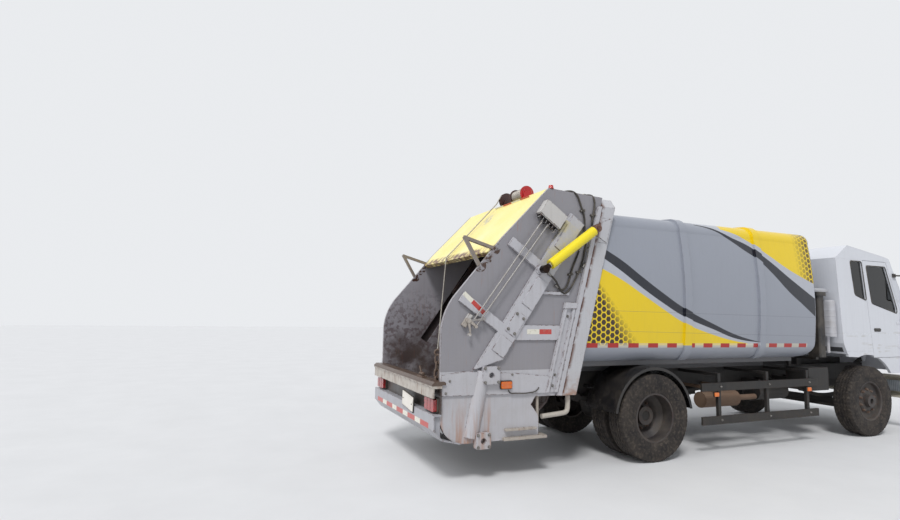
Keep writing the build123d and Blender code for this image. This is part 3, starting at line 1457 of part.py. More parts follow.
def make_carriage():
    """Pusher plate with an end plate and two slides on each side, and the blade's cylinders."""
    end_out = SIDE_IN - 10
    end_in = end_out - 40
    pivot_boss_r = 76
    with BuildPart() as carriage:
        plate = [
            slope_point(118, 60), slope_point(1100, 30), slope_point(1100, -10), slope_point(118, -20),
        ]
        slab(plate, -end_in, end_in)
        ends = [
            slope_point(0, pivot_boss_r), slope_point(1100, 40), slope_point(1100, -10),
            slope_point(930, -SLOT_OFFSET - 50), slope_point(20, -SLOT_OFFSET - 50),
            slope_point(0, -pivot_boss_r),
        ]
        slab_pair(ends, end_in, end_out)
        for low, high in ((-end_out, -end_in), (end_in, end_out)):
            cross_rod(*slope_point(0, 0), pivot_boss_r, low, high)
        half = SLOT_WIDE / 2 - SLIDE_GAP
        for along in (110, 850):
            slide = [
                slope_point(along - 90, -SLOT_OFFSET - half), slope_point(along - 90, -SLOT_OFFSET + half),
                slope_point(along + 90, -SLOT_OFFSET + half), slope_point(along + 90, -SLOT_OFFSET - half),
            ]
            slab_pair(slide, end_out, SIDE_IN + SLOT_DEEP)
        for low, high in ((-end_out, -end_in), (end_in, end_out)):
            cross_rod(*slope_point(0, 0), BLADE_PIN_R + PIN_GAP, low, high, Mode.SUBTRACT)
        lateral = -HORN_R * cos(radians(BLADE_SWING / 2))
        for y in BLADE_ROD_Y:
            top = slope_point(1040, lateral)
            low = slope_point(470, lateral)
            rod_between((low[0], y, low[1]), (top[0], y, top[1]), 50)
            bore_end = slope_point(1000, lateral)
            rod_between((low[0], y, low[1]), (bore_end[0], y, bore_end[1]), 26 + PIN_GAP, Mode.SUBTRACT)
            mount = [
                slope_point(900, lateral - 10), slope_point(1060, lateral - 10), slope_point(1060, 0),
                slope_point(900, 0),
            ]
            slab(mount, y - 50, y - 38)
            slab(mount, y + 38, y + 50)
    return carriage


def make_blade_rods():
    """Rods of the blade's cylinders, each with an eye beside the blade's horn."""
    lateral = -HORN_R * cos(radians(BLADE_SWING / 2))
    along = -HORN_R * sin(radians(BLADE_SWING / 2))
    eye = slope_point(along, lateral)
    top = slope_point(620, lateral)
    with BuildPart() as blade_rods:
        for y in BLADE_ROD_Y:
            rod_between((eye[0], y, eye[1]), (top[0], y, top[1]), 26)
            cross_rod(*eye, 44, y - 26, y + 26)
    return blade_rods


def make_packer_blade():
    """Curved blade on its shaft, with a pair of horns for its cylinders."""
    closed = -60
    with BuildPart() as packer_blade:
        root = swing_point(55, closed + 90)
        root_back = swing_point(55, closed - 90)
        tip_back = swing_point(BLADE_R, closed - 2)
        with BuildSketch(Plane.XZ.offset(-BLADE_HALF)) as section:
            with BuildLine():
                Line(root, swing_point(BLADE_R - 4, closed + 1.2))
                Line(swing_point(BLADE_R - 4, closed + 1.2), tip_back)
                ThreePointArc(tip_back, swing_point(BLADE_R * 0.55, closed - 9), root_back)
                Line(root_back, root)
            make_face()
        extrude(section.sketch, amount=2 * BLADE_HALF)
        cross_rod(*slope_point(0, 0), 58, -BLADE_HALF + 48, BLADE_HALF - 48)
        slab_pair(
            [slope_point(-130, 90), slope_point(130, 90), slope_point(130, -120), slope_point(-130, -120)],
            BLADE_HALF - 48, BLADE_HALF + 2, Mode.SUBTRACT,
        )
        cross_rod(*slope_point(0, 0), BLADE_PIN_R, -SIDE_IN + 8, SIDE_IN - 8)
        horn_angle = SLOPE - 180 + 90 + 180 + BLADE_SWING / 2
        for y in BLADE_ROD_Y:
            side = 1 if y > 0 else -1
            inner = y + side * 28
            horn = [
                swing_point(56, horn_angle - 75), swing_point(HORN_R + 34, horn_angle - 9),
                swing_point(HORN_R + 34, horn_angle + 9), swing_point(56, horn_angle + 75),
            ]
            slab(horn, min(inner, inner + side * 24), max(inner, inner + side * 24))
    return packer_blade


# Lift cylinders


def lift_axis():
    """Both ends of a lift cylinder in the side view, and its length."""
    top = (aft(LIFT_TOP_AFT), LIFT_TOP_Z)
    low = (aft(LIFT_LOW_AFT), LIFT_LOW_Z)
    return top, low, hypot(top[0] - low[0], top[1] - low[1])


def lift_point(distance):
    """Point this far from the upper pin, towards the lower one."""
    top, low, length = lift_axis()
    share = distance / length
    return (top[0] + (low[0] - top[0]) * share, LIFT_Y, top[1] + (low[1] - top[1]) * share)


def make_lift_barrel():
    """Barrel with its eye on the body's pin, and the bore that the rod runs in."""
    top, _, length = lift_axis()
    with BuildPart() as lift_barrel:
        rod_between(lift_point(LIFT_EYE_R + 16), lift_point(length - 95), LIFT_BARREL_R)
        rod_between(lift_point(LIFT_PIN_R + 6), lift_point(LIFT_EYE_R + 20), LIFT_EYE_R - 12)
        cross_rod(*top, LIFT_EYE_R, LIFT_Y - 34, LIFT_Y + 30)
        cross_rod(*top, LIFT_PIN_R + PIN_GAP, LIFT_Y - 70, LIFT_Y + 70, Mode.SUBTRACT)
        rod_between(lift_point(90), lift_point(length - 95), LIFT_ROD_R + PIN_GAP, Mode.SUBTRACT)
    return lift_barrel


def make_lift_rod():
    """Rod with its eye and pin beside the tailgate's pad."""
    _, low, length = lift_axis()
    with BuildPart() as lift_rod:
        rod_between(lift_point(100), lift_point(length - 20), LIFT_ROD_R)
        cross_rod(*low, LIFT_EYE_R, LIFT_Y - 34, LIFT_Y + 34)
    return lift_rod


# Ejector


def make_ejector():
    """Pusher plate across the load space, with stays to its foot and two flat shoes."""
    face_low = fore(BODY_NOSE - 660)
    margin = SHELL_WALL + 14
    start = face_low - 100
    with BuildPart() as ejector:
        body_section(start, margin, fore(BODY_NOSE) - start)
        face = [
            (face_low, FLOOR_TOP), (face_low + SEAM_LEAN * 1900, FLOOR_TOP + 1900),
            (face_low + SEAM_LEAN * 1900 + 30, FLOOR_TOP + 1900), (face_low + 30, FLOOR_TOP),
        ]
        slab(face, -BODY_HALF, BODY_HALF, Mode.INTERSECT)
        upright(face_low, face_low + 420, -700, -500, FLOOR_TOP + 0.5, FLOOR_TOP + 60)
        upright(face_low, face_low + 420, 500, 700, FLOOR_TOP + 0.5, FLOOR_TOP + 60)
        for y in (-600, 600):
            stay = [
                (face_low + 60, FLOOR_TOP + 50), (face_low + 400, FLOOR_TOP + 50),
                (face_low + 15 + SEAM_LEAN * 1300, FLOOR_TOP + 1300),
                (face_low + 15 + SEAM_LEAN * 1240, FLOOR_TOP + 1240),
            ]
            slab(stay, y - 12, y + 12)
    return ejector


os.makedirs("parts", exist_ok=True)

WHOLE_PIECES = {
    "chassis_frame": make_chassis_frame,
    "front_axle": make_front_axle,
    "rear_axle": make_rear_axle,
    "leaf_springs": make_leaf_springs,
    "engine_block": make_engine_block,
    "side_tanks": make_side_tanks,
    "battery_box": make_battery_box,
    "muffler": make_muffler,
    "side_guards": make_side_guards,
    "mudguards": make_mudguards,
    "air_intake": make_air_intake,
    "front_bumper": make_front_bumper,
    "headlamps": make_headlamps,
    "body_shell": make_body_shell,
    "body_front_wall": make_body_front_wall,
    "body_floor": make_body_floor,
    "body_rear_frame": make_body_rear_frame,
    "cab_roof": make_cab_roof,
    "cab_back": make_cab_back,
    "cab_front": make_cab_front,
    "cab_floor": make_cab_floor,
    "cab_glass": make_cab_glass,
    "seats": make_seats,
    "dashboard": make_dashboard,
    "mirrors": make_mirrors,
    "tie_rod": make_tie_rod,
    "hopper_tub": make_hopper_tub,
    "tailgate_hood": make_tailgate_hood,
    "guard_frames": make_guard_frames,
    "loading_sill": make_loading_sill,
    "rear_panel": make_rear_panel,
    "tail_lamps": make_tail_lamps,
    "control_gear": make_control_gear,
    "winch": make_winch,
    "carriage": make_carriage,
    "packer_blade": make_packer_blade,
    "blade_rods": make_blade_rods,
    "ejector": make_ejector,
}

LEFT_PIECES = {
    "knuckle": make_knuckle,
    "front_tyre": make_front_tyre,
    "front_rim": make_front_rim,
    "rear_tyres": make_rear_tyres,
    "rear_rims": make_rear_rims,
    "door": make_door,
    "door_glass": make_door_glass,
    "tailgate_side": make_tailgate_side,
    "lift_barrel": make_lift_barrel,
    "lift_rod": make_lift_rod,
}

for name, make in WHOLE_PIECES.items():
    save(make(), name)

for name, make in LEFT_PIECES.items():
    left = make()
    save(left, f"{name}_left")
    save(mirrored(left), f"{name}_right")
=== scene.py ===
"""Finishes and fine pieces of a rear-loading garbage truck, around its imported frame."""

import math

import bmesh
import bpy
from mathutils import Matrix, Vector


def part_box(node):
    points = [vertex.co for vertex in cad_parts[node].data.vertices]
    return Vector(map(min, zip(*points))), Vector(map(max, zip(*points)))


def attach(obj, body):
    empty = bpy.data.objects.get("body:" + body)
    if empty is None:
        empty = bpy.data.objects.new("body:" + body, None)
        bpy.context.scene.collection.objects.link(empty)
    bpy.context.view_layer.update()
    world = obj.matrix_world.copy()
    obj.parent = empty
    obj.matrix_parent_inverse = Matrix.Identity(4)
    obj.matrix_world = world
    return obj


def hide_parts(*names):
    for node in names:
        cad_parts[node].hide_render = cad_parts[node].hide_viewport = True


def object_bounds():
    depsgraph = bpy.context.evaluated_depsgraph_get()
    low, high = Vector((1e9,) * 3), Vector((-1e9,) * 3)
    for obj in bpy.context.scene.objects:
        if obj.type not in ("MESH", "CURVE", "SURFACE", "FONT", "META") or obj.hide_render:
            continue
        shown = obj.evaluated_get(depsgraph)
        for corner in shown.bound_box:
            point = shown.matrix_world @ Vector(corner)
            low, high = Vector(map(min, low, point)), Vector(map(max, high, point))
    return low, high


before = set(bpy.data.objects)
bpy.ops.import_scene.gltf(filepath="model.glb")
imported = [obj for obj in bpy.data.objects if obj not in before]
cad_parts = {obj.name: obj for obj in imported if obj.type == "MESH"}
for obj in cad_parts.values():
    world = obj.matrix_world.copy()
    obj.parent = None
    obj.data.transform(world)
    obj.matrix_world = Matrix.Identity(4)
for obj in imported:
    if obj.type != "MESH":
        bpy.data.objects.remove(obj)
CAD_LOW, CAD_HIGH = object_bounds()

bl_info = {
    "name": "Rear-loading garbage truck",
    "version": (1, 0, 0),
    "blender": (4, 5, 0),
    "location": "View3D > Sidebar > Truck",
    "description": "Finishes and fine pieces of a rear-loading garbage truck",
    "category": "Add Mesh",
}


def ink(code):
    """Linear colour with alpha from an sRGB hex value."""
    shares = [int(code[i:i + 2], 16) / 255 for i in (1, 3, 5)]
    return tuple(c / 12.92 if c <= 0.04045 else ((c + 0.055) / 1.055) ** 2.4 for c in shares) + (1.0,)


def paint_swatch(label, text, code):
    """Colour property with a hex default."""
    return bpy.props.FloatVectorProperty(
        name=label, description=text, subtype="COLOR", size=4, min=0, max=1, default=ink(code))


def length(label, text, metres):
    """Length property in metres."""
    return bpy.props.FloatProperty(name=label, description=text, default=metres, unit="LENGTH", precision=4)


class TruckPaint(bpy.types.PropertyGroup):
    """Colours that an owner would choose."""

    body: paint_swatch("Body", "Silver grey of the load body", "#8F939D")
    band: paint_swatch("Light band", "Pale band beside each stripe", "#AEB1B9")
    stripe: paint_swatch("Stripe", "Dark curved stripes", "#121723")
    yellow: paint_swatch("Yellow field", "Yellow at the lower rear and upper front", "#E4C400")
    comb: paint_swatch("Honeycomb", "Dark cells in the yellow fields", "#33210C")
    tailgate: paint_swatch("Tailgate", "Grey of the tailgate", "#B4B3B8")
    hood: paint_swatch("Hood", "Faded yellow of the tailgate's hood", "#F0DF86")
    cylinder: paint_swatch("Cylinders", "Yellow of the lift cylinders", "#EBD613")
    cab: paint_swatch("Cab", "White of the cab", "#D0D2D8")
    bumper: paint_swatch("Bumper", "Beige of the front bumper", "#C9C3B2")


class TruckWear(bpy.types.PropertyGroup):
    """How worn and dirty the truck is."""

    dust: bpy.props.FloatProperty(
        name="Dust", description="Dust on upright faces", subtype="FACTOR", min=0, max=1, default=0.5)
    rust: bpy.props.FloatProperty(
        name="Rust", description="Rust along edges and seams", subtype="FACTOR", min=0, max=1, default=0.55)
    grime: bpy.props.FloatProperty(
        name="Grime", description="Dark grime inside the hopper", subtype="FACTOR", min=0, max=1, default=0.7)


class TruckDetail(bpy.types.PropertyGroup):
    """Real sizes of the fine pieces."""

    tape: length("Tape width", "Width of the reflective tape", 0.055)
    cell: length("Honeycomb cell", "Distance across a cell's flats", 0.078)
    tread: length("Tread depth", "Depth of the tyre's grooves", 0.013)
    nut: length("Wheel nut", "Distance across a wheel nut's flats", 0.033)
    rope: length("Winch rope", "Diameter of the winch's rope", 0.017)
    hose: length("Hose", "Outer diameter of a hydraulic hose", 0.022)


class TruckStage(bpy.types.PropertyGroup):
    """Camera and lamps."""

    lens: bpy.props.FloatProperty(name="Lens", description="Focal length", default=21.51, unit="CAMERA")
    sun: bpy.props.FloatProperty(name="Sun", description="Strength of the high lamp", default=1.9)
    sky: bpy.props.FloatProperty(name="Sky", description="Strength of the light from all round", default=0.62)


# Node and mesh helpers


def add(tree, kind, inputs=None, output=0, **settings):
    """Add a node, set its settings, fill or link its sockets, and return one of its outputs."""
    node = tree.nodes.new(kind)
    for key, value in settings.items():
        setattr(node, key, value)
    for socket, value in (inputs or {}).items():
        if isinstance(value, bpy.types.NodeSocket):
            tree.links.new(value, node.inputs[socket])
        else:
            node.inputs[socket].default_value = value
    return node.outputs[output] if len(node.outputs) else node


def start(name, metallic=0.0, roughness=0.5, **sockets):
    """New material with its shader's constants set, its node tree and where each point lies in metres."""
    material = bpy.data.materials.new(name)
    material.use_nodes = True
    tree = material.node_tree
    shader = next(node for node in tree.nodes if node.type == "BSDF_PRINCIPLED")
    shader.inputs["Metallic"].default_value = metallic
    shader.inputs["Roughness"].default_value = roughness
    for socket, value in sockets.items():
        shader.inputs[socket.replace("_", " ")].default_value = value
    place = add(tree, "ShaderNodeTexCoord", output="Object")
    return material, tree, shader, place


def join(tree, source, shader, socket):
    """Link a worked-out value to the shader."""
    tree.links.new(source, shader.inputs[socket])


def patches(tree, place, size, low, high, detail=4.0, roughness=0.6):
    """Cloudy cover from 0 to 1, in patches of about this size in metres, between two noise levels."""
    cloud = add(tree, "ShaderNodeTexNoise", {
        "Vector": place, "Scale": 1.0 / size, "Detail": detail, "Roughness": roughness})
    return add(tree, "ShaderNodeMapRange", {"Value": cloud, "From Min": low, "From Max": high})


def streaks(tree, place, width, run, low, high):
    """Cover in upright streaks, of this width and length in metres."""
    stretched = add(tree, "ShaderNodeVectorMath", {
        0: place, 1: (1.0 / width, 1.0 / width, 1.0 / run)}, operation="MULTIPLY")
    cloud = add(tree, "ShaderNodeTexNoise", {
        "Vector": stretched, "Scale": 1.0, "Detail": 3.0, "Roughness": 0.55})
    return add(tree, "ShaderNodeMapRange", {"Value": cloud, "From Min": low, "From Max": high})


def worn_edges(tree, radius, reach=0.86):
    """Cover along sharp edges and inner corners, from how far a rounded edge would turn the face."""
    rounded = add(tree, "ShaderNodeBevel", {"Radius": radius}, samples=6)
    flat = add(tree, "ShaderNodeNewGeometry", output="Normal")
    same = add(tree, "ShaderNodeVectorMath", {0: rounded, 1: flat}, output="Value", operation="DOT_PRODUCT")
    return add(tree, "ShaderNodeMapRange", {
        "Value": same, "From Min": 1.0, "From Max": reach, "To Min": 0.0, "To Max": 1.0})


def both(tree, first, second):
    """Cover where two covers meet."""
    return add(tree, "ShaderNodeMath", {0: first, 1: second}, operation="MULTIPLY", use_clamp=True)


def either(tree, first, second):
    """The stronger of two covers."""
    return add(tree, "ShaderNodeMath", {0: first, 1: second}, operation="MAXIMUM")


def outside(tree, cover):
    """Cover of the rest of the surface."""
    return add(tree, "ShaderNodeMath", {0: 1.0, 1: cover}, operation="SUBTRACT")


def thinned(tree, cover, share):
    """Cover that lets part of what lies under it show."""
    return add(tree, "ShaderNodeMath", {0: cover, 1: share}, operation="MULTIPLY")


def axis_of(tree, place, axis):
    """How far each point lies along one axis."""
    return add(tree, "ShaderNodeSeparateXYZ", {0: place}, output=axis)


def less_than(tree, value, limit):
    """Cover of values under a limit."""
    return add(tree, "ShaderNodeMath", {0: value, 1: limit}, operation="LESS_THAN")


def more_than(tree, value, limit):
    """Cover of values over a limit."""
    return add(tree, "ShaderNodeMath", {0: value, 1: limit}, operation="GREATER_THAN")


def between(tree, value, low, high):
    """Cover of values between two limits."""
    return add(tree, "ShaderNodeMath", {
        0: value, 1: (low + high) / 2, 2: (high - low) / 2}, operation="COMPARE")


def layered(tree, base, layers):
    """Colour of a base with layers over it, each a pair of cover and colour."""
    colour = base
    for cover, over in layers:
        colour = add(tree, "ShaderNodeMix", {0: cover, 6: colour, 7: over}, output=2, data_type="RGBA")
    return colour


def coat_over(tree, shader, base, covers):
    """Colour the shader with a base under covers, each with its share and colour."""
    layers = [(thinned(tree, cover, share), over) for cover, share, over in covers]
    join(tree, layered(tree, base, layers), shader, "Base Color")


def below(tree, place, top, fade):
    """Cover of what lies lower than a height, fading in over a distance, both in metres."""
    height = axis_of(tree, place, "Z")
    return add(tree, "ShaderNodeMapRange", {
        "Value": height, "From Min": top, "From Max": top - fade, "To Min": 0.0, "To Max": 1.0})


def soft_edge_relief(tree, shader, height, depth, edge=0.004):
    """Relief of a fine pattern on faces whose edges are rounded off."""
    rounded = add(tree, "ShaderNodeBevel", {"Radius": edge}, samples=4)
    relief = add(tree, "ShaderNodeBump", {
        "Strength": 1.0, "Distance": depth, "Height": height, "Normal": rounded})
    join(tree, relief, shader, "Normal")


def link_mesh(name, mesh, material, body):
    """Object from a finished mesh, that rides on a body."""
    mesh.materials.append(material)
    piece = bpy.data.objects.new(name, mesh)
    bpy.context.scene.collection.objects.link(piece)
    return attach(piece, body)


def from_faces(name, points, faces, material, body, smooth_below=40):
    """Piece from points and faces, smooth where faces meet at a small angle."""
    mesh = bpy.data.meshes.new(name)
    mesh.from_pydata([tuple(p) for p in points], [], faces)
    mesh.validate()
    shape = bmesh.new()
    shape.from_mesh(mesh)
    bmesh.ops.recalc_face_normals(shape, faces=shape.faces)
    for face in shape.faces:
        face.smooth = True
    for edge in shape.edges:
        if len(edge.link_faces) == 2:
            edge.smooth = edge.calc_face_angle(0) < math.radians(smooth_below)
    shape.to_mesh(mesh)
    shape.free()
    return link_mesh(name, mesh, material, body)


def dress(material, *nodes):
    """Give carried-over nodes their finish."""
    for node in nodes:
        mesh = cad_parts[node].data
        mesh.materials.clear()
        mesh.materials.append(material)


def with_sides(*stems):
    """Names of a left and a right node for each stem."""
    return [f"{stem}_{side}" for stem in stems for side in ("left", "right")]


# Paint on steel

DUST = "#8E8272"
GRIME = "#3B332D"
RUST_DARK = "#4A2615"
RUST_LIGHT = "#9A5426"


def enamel_on_steel(name, base, wear, roughness=0.34, dust=1.0, rust=1.0, dust_top=1.6, rust_size=0.05,
                    coat=0.25):
    """Two-pack enamel sprayed on steel: an even gloss, dulled by dust, with rust from its edges."""
    material, tree, shader, place = start(
        name, roughness=roughness, Coat_Weight=coat, Coat_Roughness=0.18)
    colour = base(tree, place) if callable(base) else base
    cloud = patches(tree, place, 0.55, 0.35, 0.75)
    speck = patches(tree, place, 0.012, 0.66, 0.74, detail=2.0)
    run = streaks(tree, place, 0.028, 0.65, 0.5, 0.78)
    dusty = both(tree, below(tree, place, dust_top, 1.1), patches(tree, place, 0.22, 0.28, 0.72))
    rusty = both(tree, worn_edges(tree, 0.014), patches(tree, place, rust_size, 0.48, 0.6))
    drip = both(tree, streaks(tree, place, 0.016, 0.32, 0.62, 0.72),
                patches(tree, place, 0.3, 0.5, 0.62))
    coat_over(tree, shader, colour, [
        (cloud, 0.10 * dust, ink(GRIME)),
        (run, 0.34 * dust * wear.dust, ink("#6B625A")),
        (dusty, 0.62 * dust * wear.dust, ink(DUST)),
        (speck, 0.5 * rust * wear.rust, ink(RUST_DARK)),
        (drip, 0.42 * rust * wear.rust, ink(RUST_LIGHT)),
        (rusty, min(1.0, 1.5 * rust * wear.rust), ink(RUST_DARK)),
    ])
    dull = either(tree, dusty, rusty)
    rough = add(tree, "ShaderNodeMapRange", {"Value": dull, "To Min": roughness, "To Max": 0.82})
    join(tree, rough, shader, "Roughness")
    flakes = thinned(tree, rusty, patches(tree, place, 0.006, 0.3, 0.7))
    peel = patches(tree, place, 0.004, 0.0, 1.0, detail=1.0)
    height = add(tree, "ShaderNodeMath", {0: peel, 1: 0.06, 2: flakes}, operation="MULTIPLY_ADD")
    soft_edge_relief(tree, shader, height, 0.0006)
    return material


# Livery of the load body

X_REAR = CAD_LOW.x + 1.6
X_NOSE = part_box("body_shell")[1].x
X_AHEAD = X_NOSE + 0.5
SHOULDER_Y = 1.05
SHOULDER_Z = 2.86
ROW_LOW = 1.2
ROW_HIGH = 3.6

STRIPE_LOW_TOP = [
    (-1.964, 2.536), (-1.766, 2.435), (-1.453, 2.24), (-1.126, 2.048), (-0.783, 1.869), (-0.234, 1.658),
    (0.153, 1.529), (0.599, 1.433),
]
STRIPE_LOW_FOOT = [
    (-1.996, 2.423), (-1.777, 2.299), (-1.462, 2.104), (-1.132, 1.924), (-0.785, 1.762), (-0.234, 1.59),
    (0.155, 1.478), (0.599, 1.428),
]
FIELD_LOW_TOP = [
    (-2.03, 2.301), (-1.783, 2.196), (-1.465, 2.026), (-1.133, 1.85), (-0.785, 1.682), (-0.232, 1.521),
    (0.077, 1.456), (0.376, 1.415),
]
STRIPE_HIGH_TOP = [
    (-0.449, 3.07), (-0.244, 3.029), (0.094, 2.889), (0.477, 2.77), (0.65, 2.69), (0.9, 2.555), (1.24, 2.35),
    (1.5, 2.205), (1.769, 2.06),
]
STRIPE_HIGH_FOOT = [
    (-0.465, 3.044), (-0.261, 2.99), (0.093, 2.845), (0.387, 2.70), (0.65, 2.575), (0.9, 2.40), (1.24, 2.13),
    (1.5, 1.965), (1.76, 1.80),
]
FIELD_HIGH_FOOT = [
    (0.009, 2.991), (0.298, 2.905), (0.624, 2.775), (0.872, 2.654), (1.269, 2.461), (1.715, 2.295),
]
SEAMS = ((1.824, 1.781), (1.587, 1.508))
SEAM_HALF = 0.003
COMB_START = 0.12
COMB_TOP = 2.27
COMB_SLANT = 0.85
LOW_FADE = (0.72, 0.97)
NOSE_COMB = (0.34, 0.05)
CELL_EDGE = (0.41, 0.38)


def livery(paint, detail):
    """Builder of the body's colours from where each point lies, the same on both sides."""

    def colours(tree, place):
        along = axis_of(tree, place, "X")
        across = axis_of(tree, place, "Y")
        up = axis_of(tree, place, "Z")
        half = add(tree, "ShaderNodeMath", {0: across}, operation="ABSOLUTE")
        inward = add(tree, "ShaderNodeMapRange", {
            "Value": half, "From Min": SHOULDER_Y, "From Max": 0.0, "To Min": 0.0, "To Max": SHOULDER_Y})
        above = more_than(tree, up, SHOULDER_Z)
        row = add(tree, "ShaderNodeMath", {0: inward, 1: above, 2: up}, operation="MULTIPLY_ADD")
        station = add(tree, "ShaderNodeMapRange", {"Value": along, "From Min": X_REAR, "From Max": X_AHEAD})

        def under(points):
            """Cover of what lies lower than a curve through these points."""
            line = tree.nodes.new("ShaderNodeFloatCurve")
            curve = line.mapping.curves[0]
            spots = [((x - X_REAR) / (X_AHEAD - X_REAR), (z - ROW_LOW) / (ROW_HIGH - ROW_LOW))
                     for x, z in points]
            for spot, point in zip(spots, (curve.points[0], curve.points[1])):
                point.location = spot
            for spot in spots[2:]:
                curve.points.new(*spot)
            line.mapping.update()
            tree.links.new(station, line.inputs["Value"])
            level = add(tree, "ShaderNodeMapRange", {
                "Value": line.outputs[0], "To Min": ROW_LOW, "To Max": ROW_HIGH})
            depth = add(tree, "ShaderNodeMath", {0: level, 1: row}, operation="SUBTRACT")
            return add(tree, "ShaderNodeMapRange", {"Value": depth, "From Min": -0.001, "From Max": 0.001})

        def behind(x):
            """Cover of what lies further back than a station."""
            return less_than(tree, along, x)

        def strip(top, foot):
            """Cover between two curves."""
            return both(tree, under(top), outside(tree, under(foot)))

        def over_tape(top):
            """Cover between the tape and a curve, as far forward as the curve goes."""
            return both(tree, both(tree, under(top), behind(top[-1][0])), off_tape)

        off_tape, tape, red_tape = reflective_tape(tree, along, up, detail.tape)
        low_field, low_band = over_tape(FIELD_LOW_TOP), over_tape(STRIPE_LOW_FOOT)
        low_stripe = both(tree, strip(STRIPE_LOW_TOP, STRIPE_LOW_FOOT), behind(STRIPE_LOW_TOP[-1][0]))
        ahead_of_tip = outside(tree, behind(STRIPE_HIGH_TOP[0][0]))
        high_stripe = both(tree, strip(STRIPE_HIGH_TOP, STRIPE_HIGH_FOOT), ahead_of_tip)
        high_band = both(tree, outside(tree, under(STRIPE_HIGH_TOP)), ahead_of_tip)
        high_field = both(
            tree, outside(tree, under(FIELD_HIGH_FOOT)), outside(tree, behind(FIELD_HIGH_FOOT[0][0])))
        comb = honeycomb(tree, along, row, detail.cell)
        low_reach = add(tree, "ShaderNodeMath", {
            0: row, 1: -COMB_SLANT, 2: COMB_TOP}, operation="MULTIPLY_ADD")
        low_run = add(tree, "ShaderNodeMath", {0: along, 1: X_REAR + COMB_START}, operation="SUBTRACT")
        low_share = add(tree, "ShaderNodeMath", {0: low_run, 1: low_reach}, operation="DIVIDE")
        low_fade = add(tree, "ShaderNodeMapRange", {
            "Value": low_share, "From Min": LOW_FADE[0], "From Max": LOW_FADE[1], "To Min": 1.0,
            "To Max": 0.0})
        high_fade = add(tree, "ShaderNodeMapRange", {
            "Value": along, "From Min": X_NOSE - NOSE_COMB[0], "From Max": X_NOSE - NOSE_COMB[1],
            "To Min": 0.0, "To Max": 0.9})
        seam = 0.0
        for ends in SEAMS:
            line = add(tree, "ShaderNodeMath", {
                0: up, 1: level_between(tree, along, ends), 2: SEAM_HALF}, operation="COMPARE")
            seam = either(tree, line, seam)
        return layered(tree, paint.body[:], [
            (low_band, paint.band[:]), (low_field, paint.yellow[:]), (low_stripe, paint.stripe[:]),
            (high_band, paint.band[:]), (high_stripe, paint.stripe[:]), (high_field, paint.yellow[:]),
            (both(tree, both(tree, comb, low_fade), low_field), paint.comb[:]),
            (both(tree, both(tree, comb, high_fade), high_field), paint.comb[:]),
            (thinned(tree, seam, 0.4), ink("#5E5B5C")), (thinned(tree, tape, 0.55), ink("#CFC7AE")),
            (red_tape, ink("#A5150F")),
        ])

    return colours


def honeycomb(tree, along, row, flats):
    """Cover of hexagons that stand in a honeycomb, with a thin wall between them."""
    sine = math.sqrt(3) / 2
    clear_of_zero = (10.0, 100.0, 0.0)
    centre = (0.5, sine, 0.0)
    spot = add(tree, "ShaderNodeCombineXYZ", {0: row, 1: along})
    grid = add(tree, "ShaderNodeVectorMath", {0: spot, 1: (1 / flats,) * 3}, operation="MULTIPLY")
    grid = add(tree, "ShaderNodeVectorMath", {0: grid, 1: clear_of_zero}, operation="ADD")

    def offset_from(start_at):
        """How far each point lies from the middle of its cell, in a grid that starts at a place."""
        moved = add(tree, "ShaderNodeVectorMath", {0: grid, 1: start_at}, operation="SUBTRACT")
        cell = add(tree, "ShaderNodeVectorMath", {0: moved, 1: (1.0, 2 * sine, 1.0)}, operation="MODULO")
        return add(tree, "ShaderNodeVectorMath", {0: cell, 1: centre}, operation="SUBTRACT")

    first, second = offset_from((0.0, 0.0, 0.0)), offset_from(centre)
    spans = [add(tree, "ShaderNodeVectorMath", {0: side}, output="Value", operation="LENGTH")
             for side in (first, second)]
    nearer = less_than(tree, spans[0], spans[1])
    near = add(tree, "ShaderNodeMix", {0: nearer, 4: second, 5: first}, output=1, data_type="VECTOR")
    size = add(tree, "ShaderNodeVectorMath", {0: near}, operation="ABSOLUTE")
    slant = add(tree, "ShaderNodeVectorMath", {0: size, 1: centre}, output="Value", operation="DOT_PRODUCT")
    reach = either(tree, slant, axis_of(tree, size, "X"))
    return add(tree, "ShaderNodeMapRange", {
        "Value": reach, "From Min": CELL_EDGE[0], "From Max": CELL_EDGE[1]})


TAPE_LEVEL = (1.407, 1.376)
TAPE_END = 1.61
TAPE_PERIOD = 0.31
TAPE_PHASE = 20.403
RED_SHARE = 0.52
HOOP_MIDDLES = (-0.723, 0.65)
HOOP_WIDE = 0.13


def level_between(tree, along, ends):
    """Height of a line that falls evenly from the body's rear to its nose."""
    slope = (ends[1] - ends[0]) / (X_NOSE - X_REAR)
    return add(tree, "ShaderNodeMath", {
        0: along, 1: slope, 2: ends[0] - slope * X_REAR}, operation="MULTIPLY_ADD")


def reflective_tape(tree, along, up, width):
    """Covers of what lies over the tape along the body's foot, of the tape and of its red blocks."""
    level = level_between(tree, along, TAPE_LEVEL)
    over = more_than(tree, up, level)
    tape = add(tree, "ShaderNodeMath", {0: up, 1: level, 2: width / 2}, operation="COMPARE")
    tape = both(tree, tape, less_than(tree, along, TAPE_END))
    for middle in HOOP_MIDDLES:
        hoop = add(tree, "ShaderNodeMath", {0: along, 1: middle, 2: HOOP_WIDE / 2}, operation="COMPARE")
        tape = both(tree, tape, outside(tree, hoop))
    share = add(tree, "ShaderNodeMath", {
        0: along, 1: 1 / TAPE_PERIOD, 2: TAPE_PHASE}, operation="MULTIPLY_ADD")
    part = add(tree, "ShaderNodeMath", {0: share}, operation="FRACT")
    return over, tape, both(tree, tape, less_than(tree, part, RED_SHARE))


FRAME_LEAN = 0.2695
FRAME_TOP = (-2.035, 3.19)


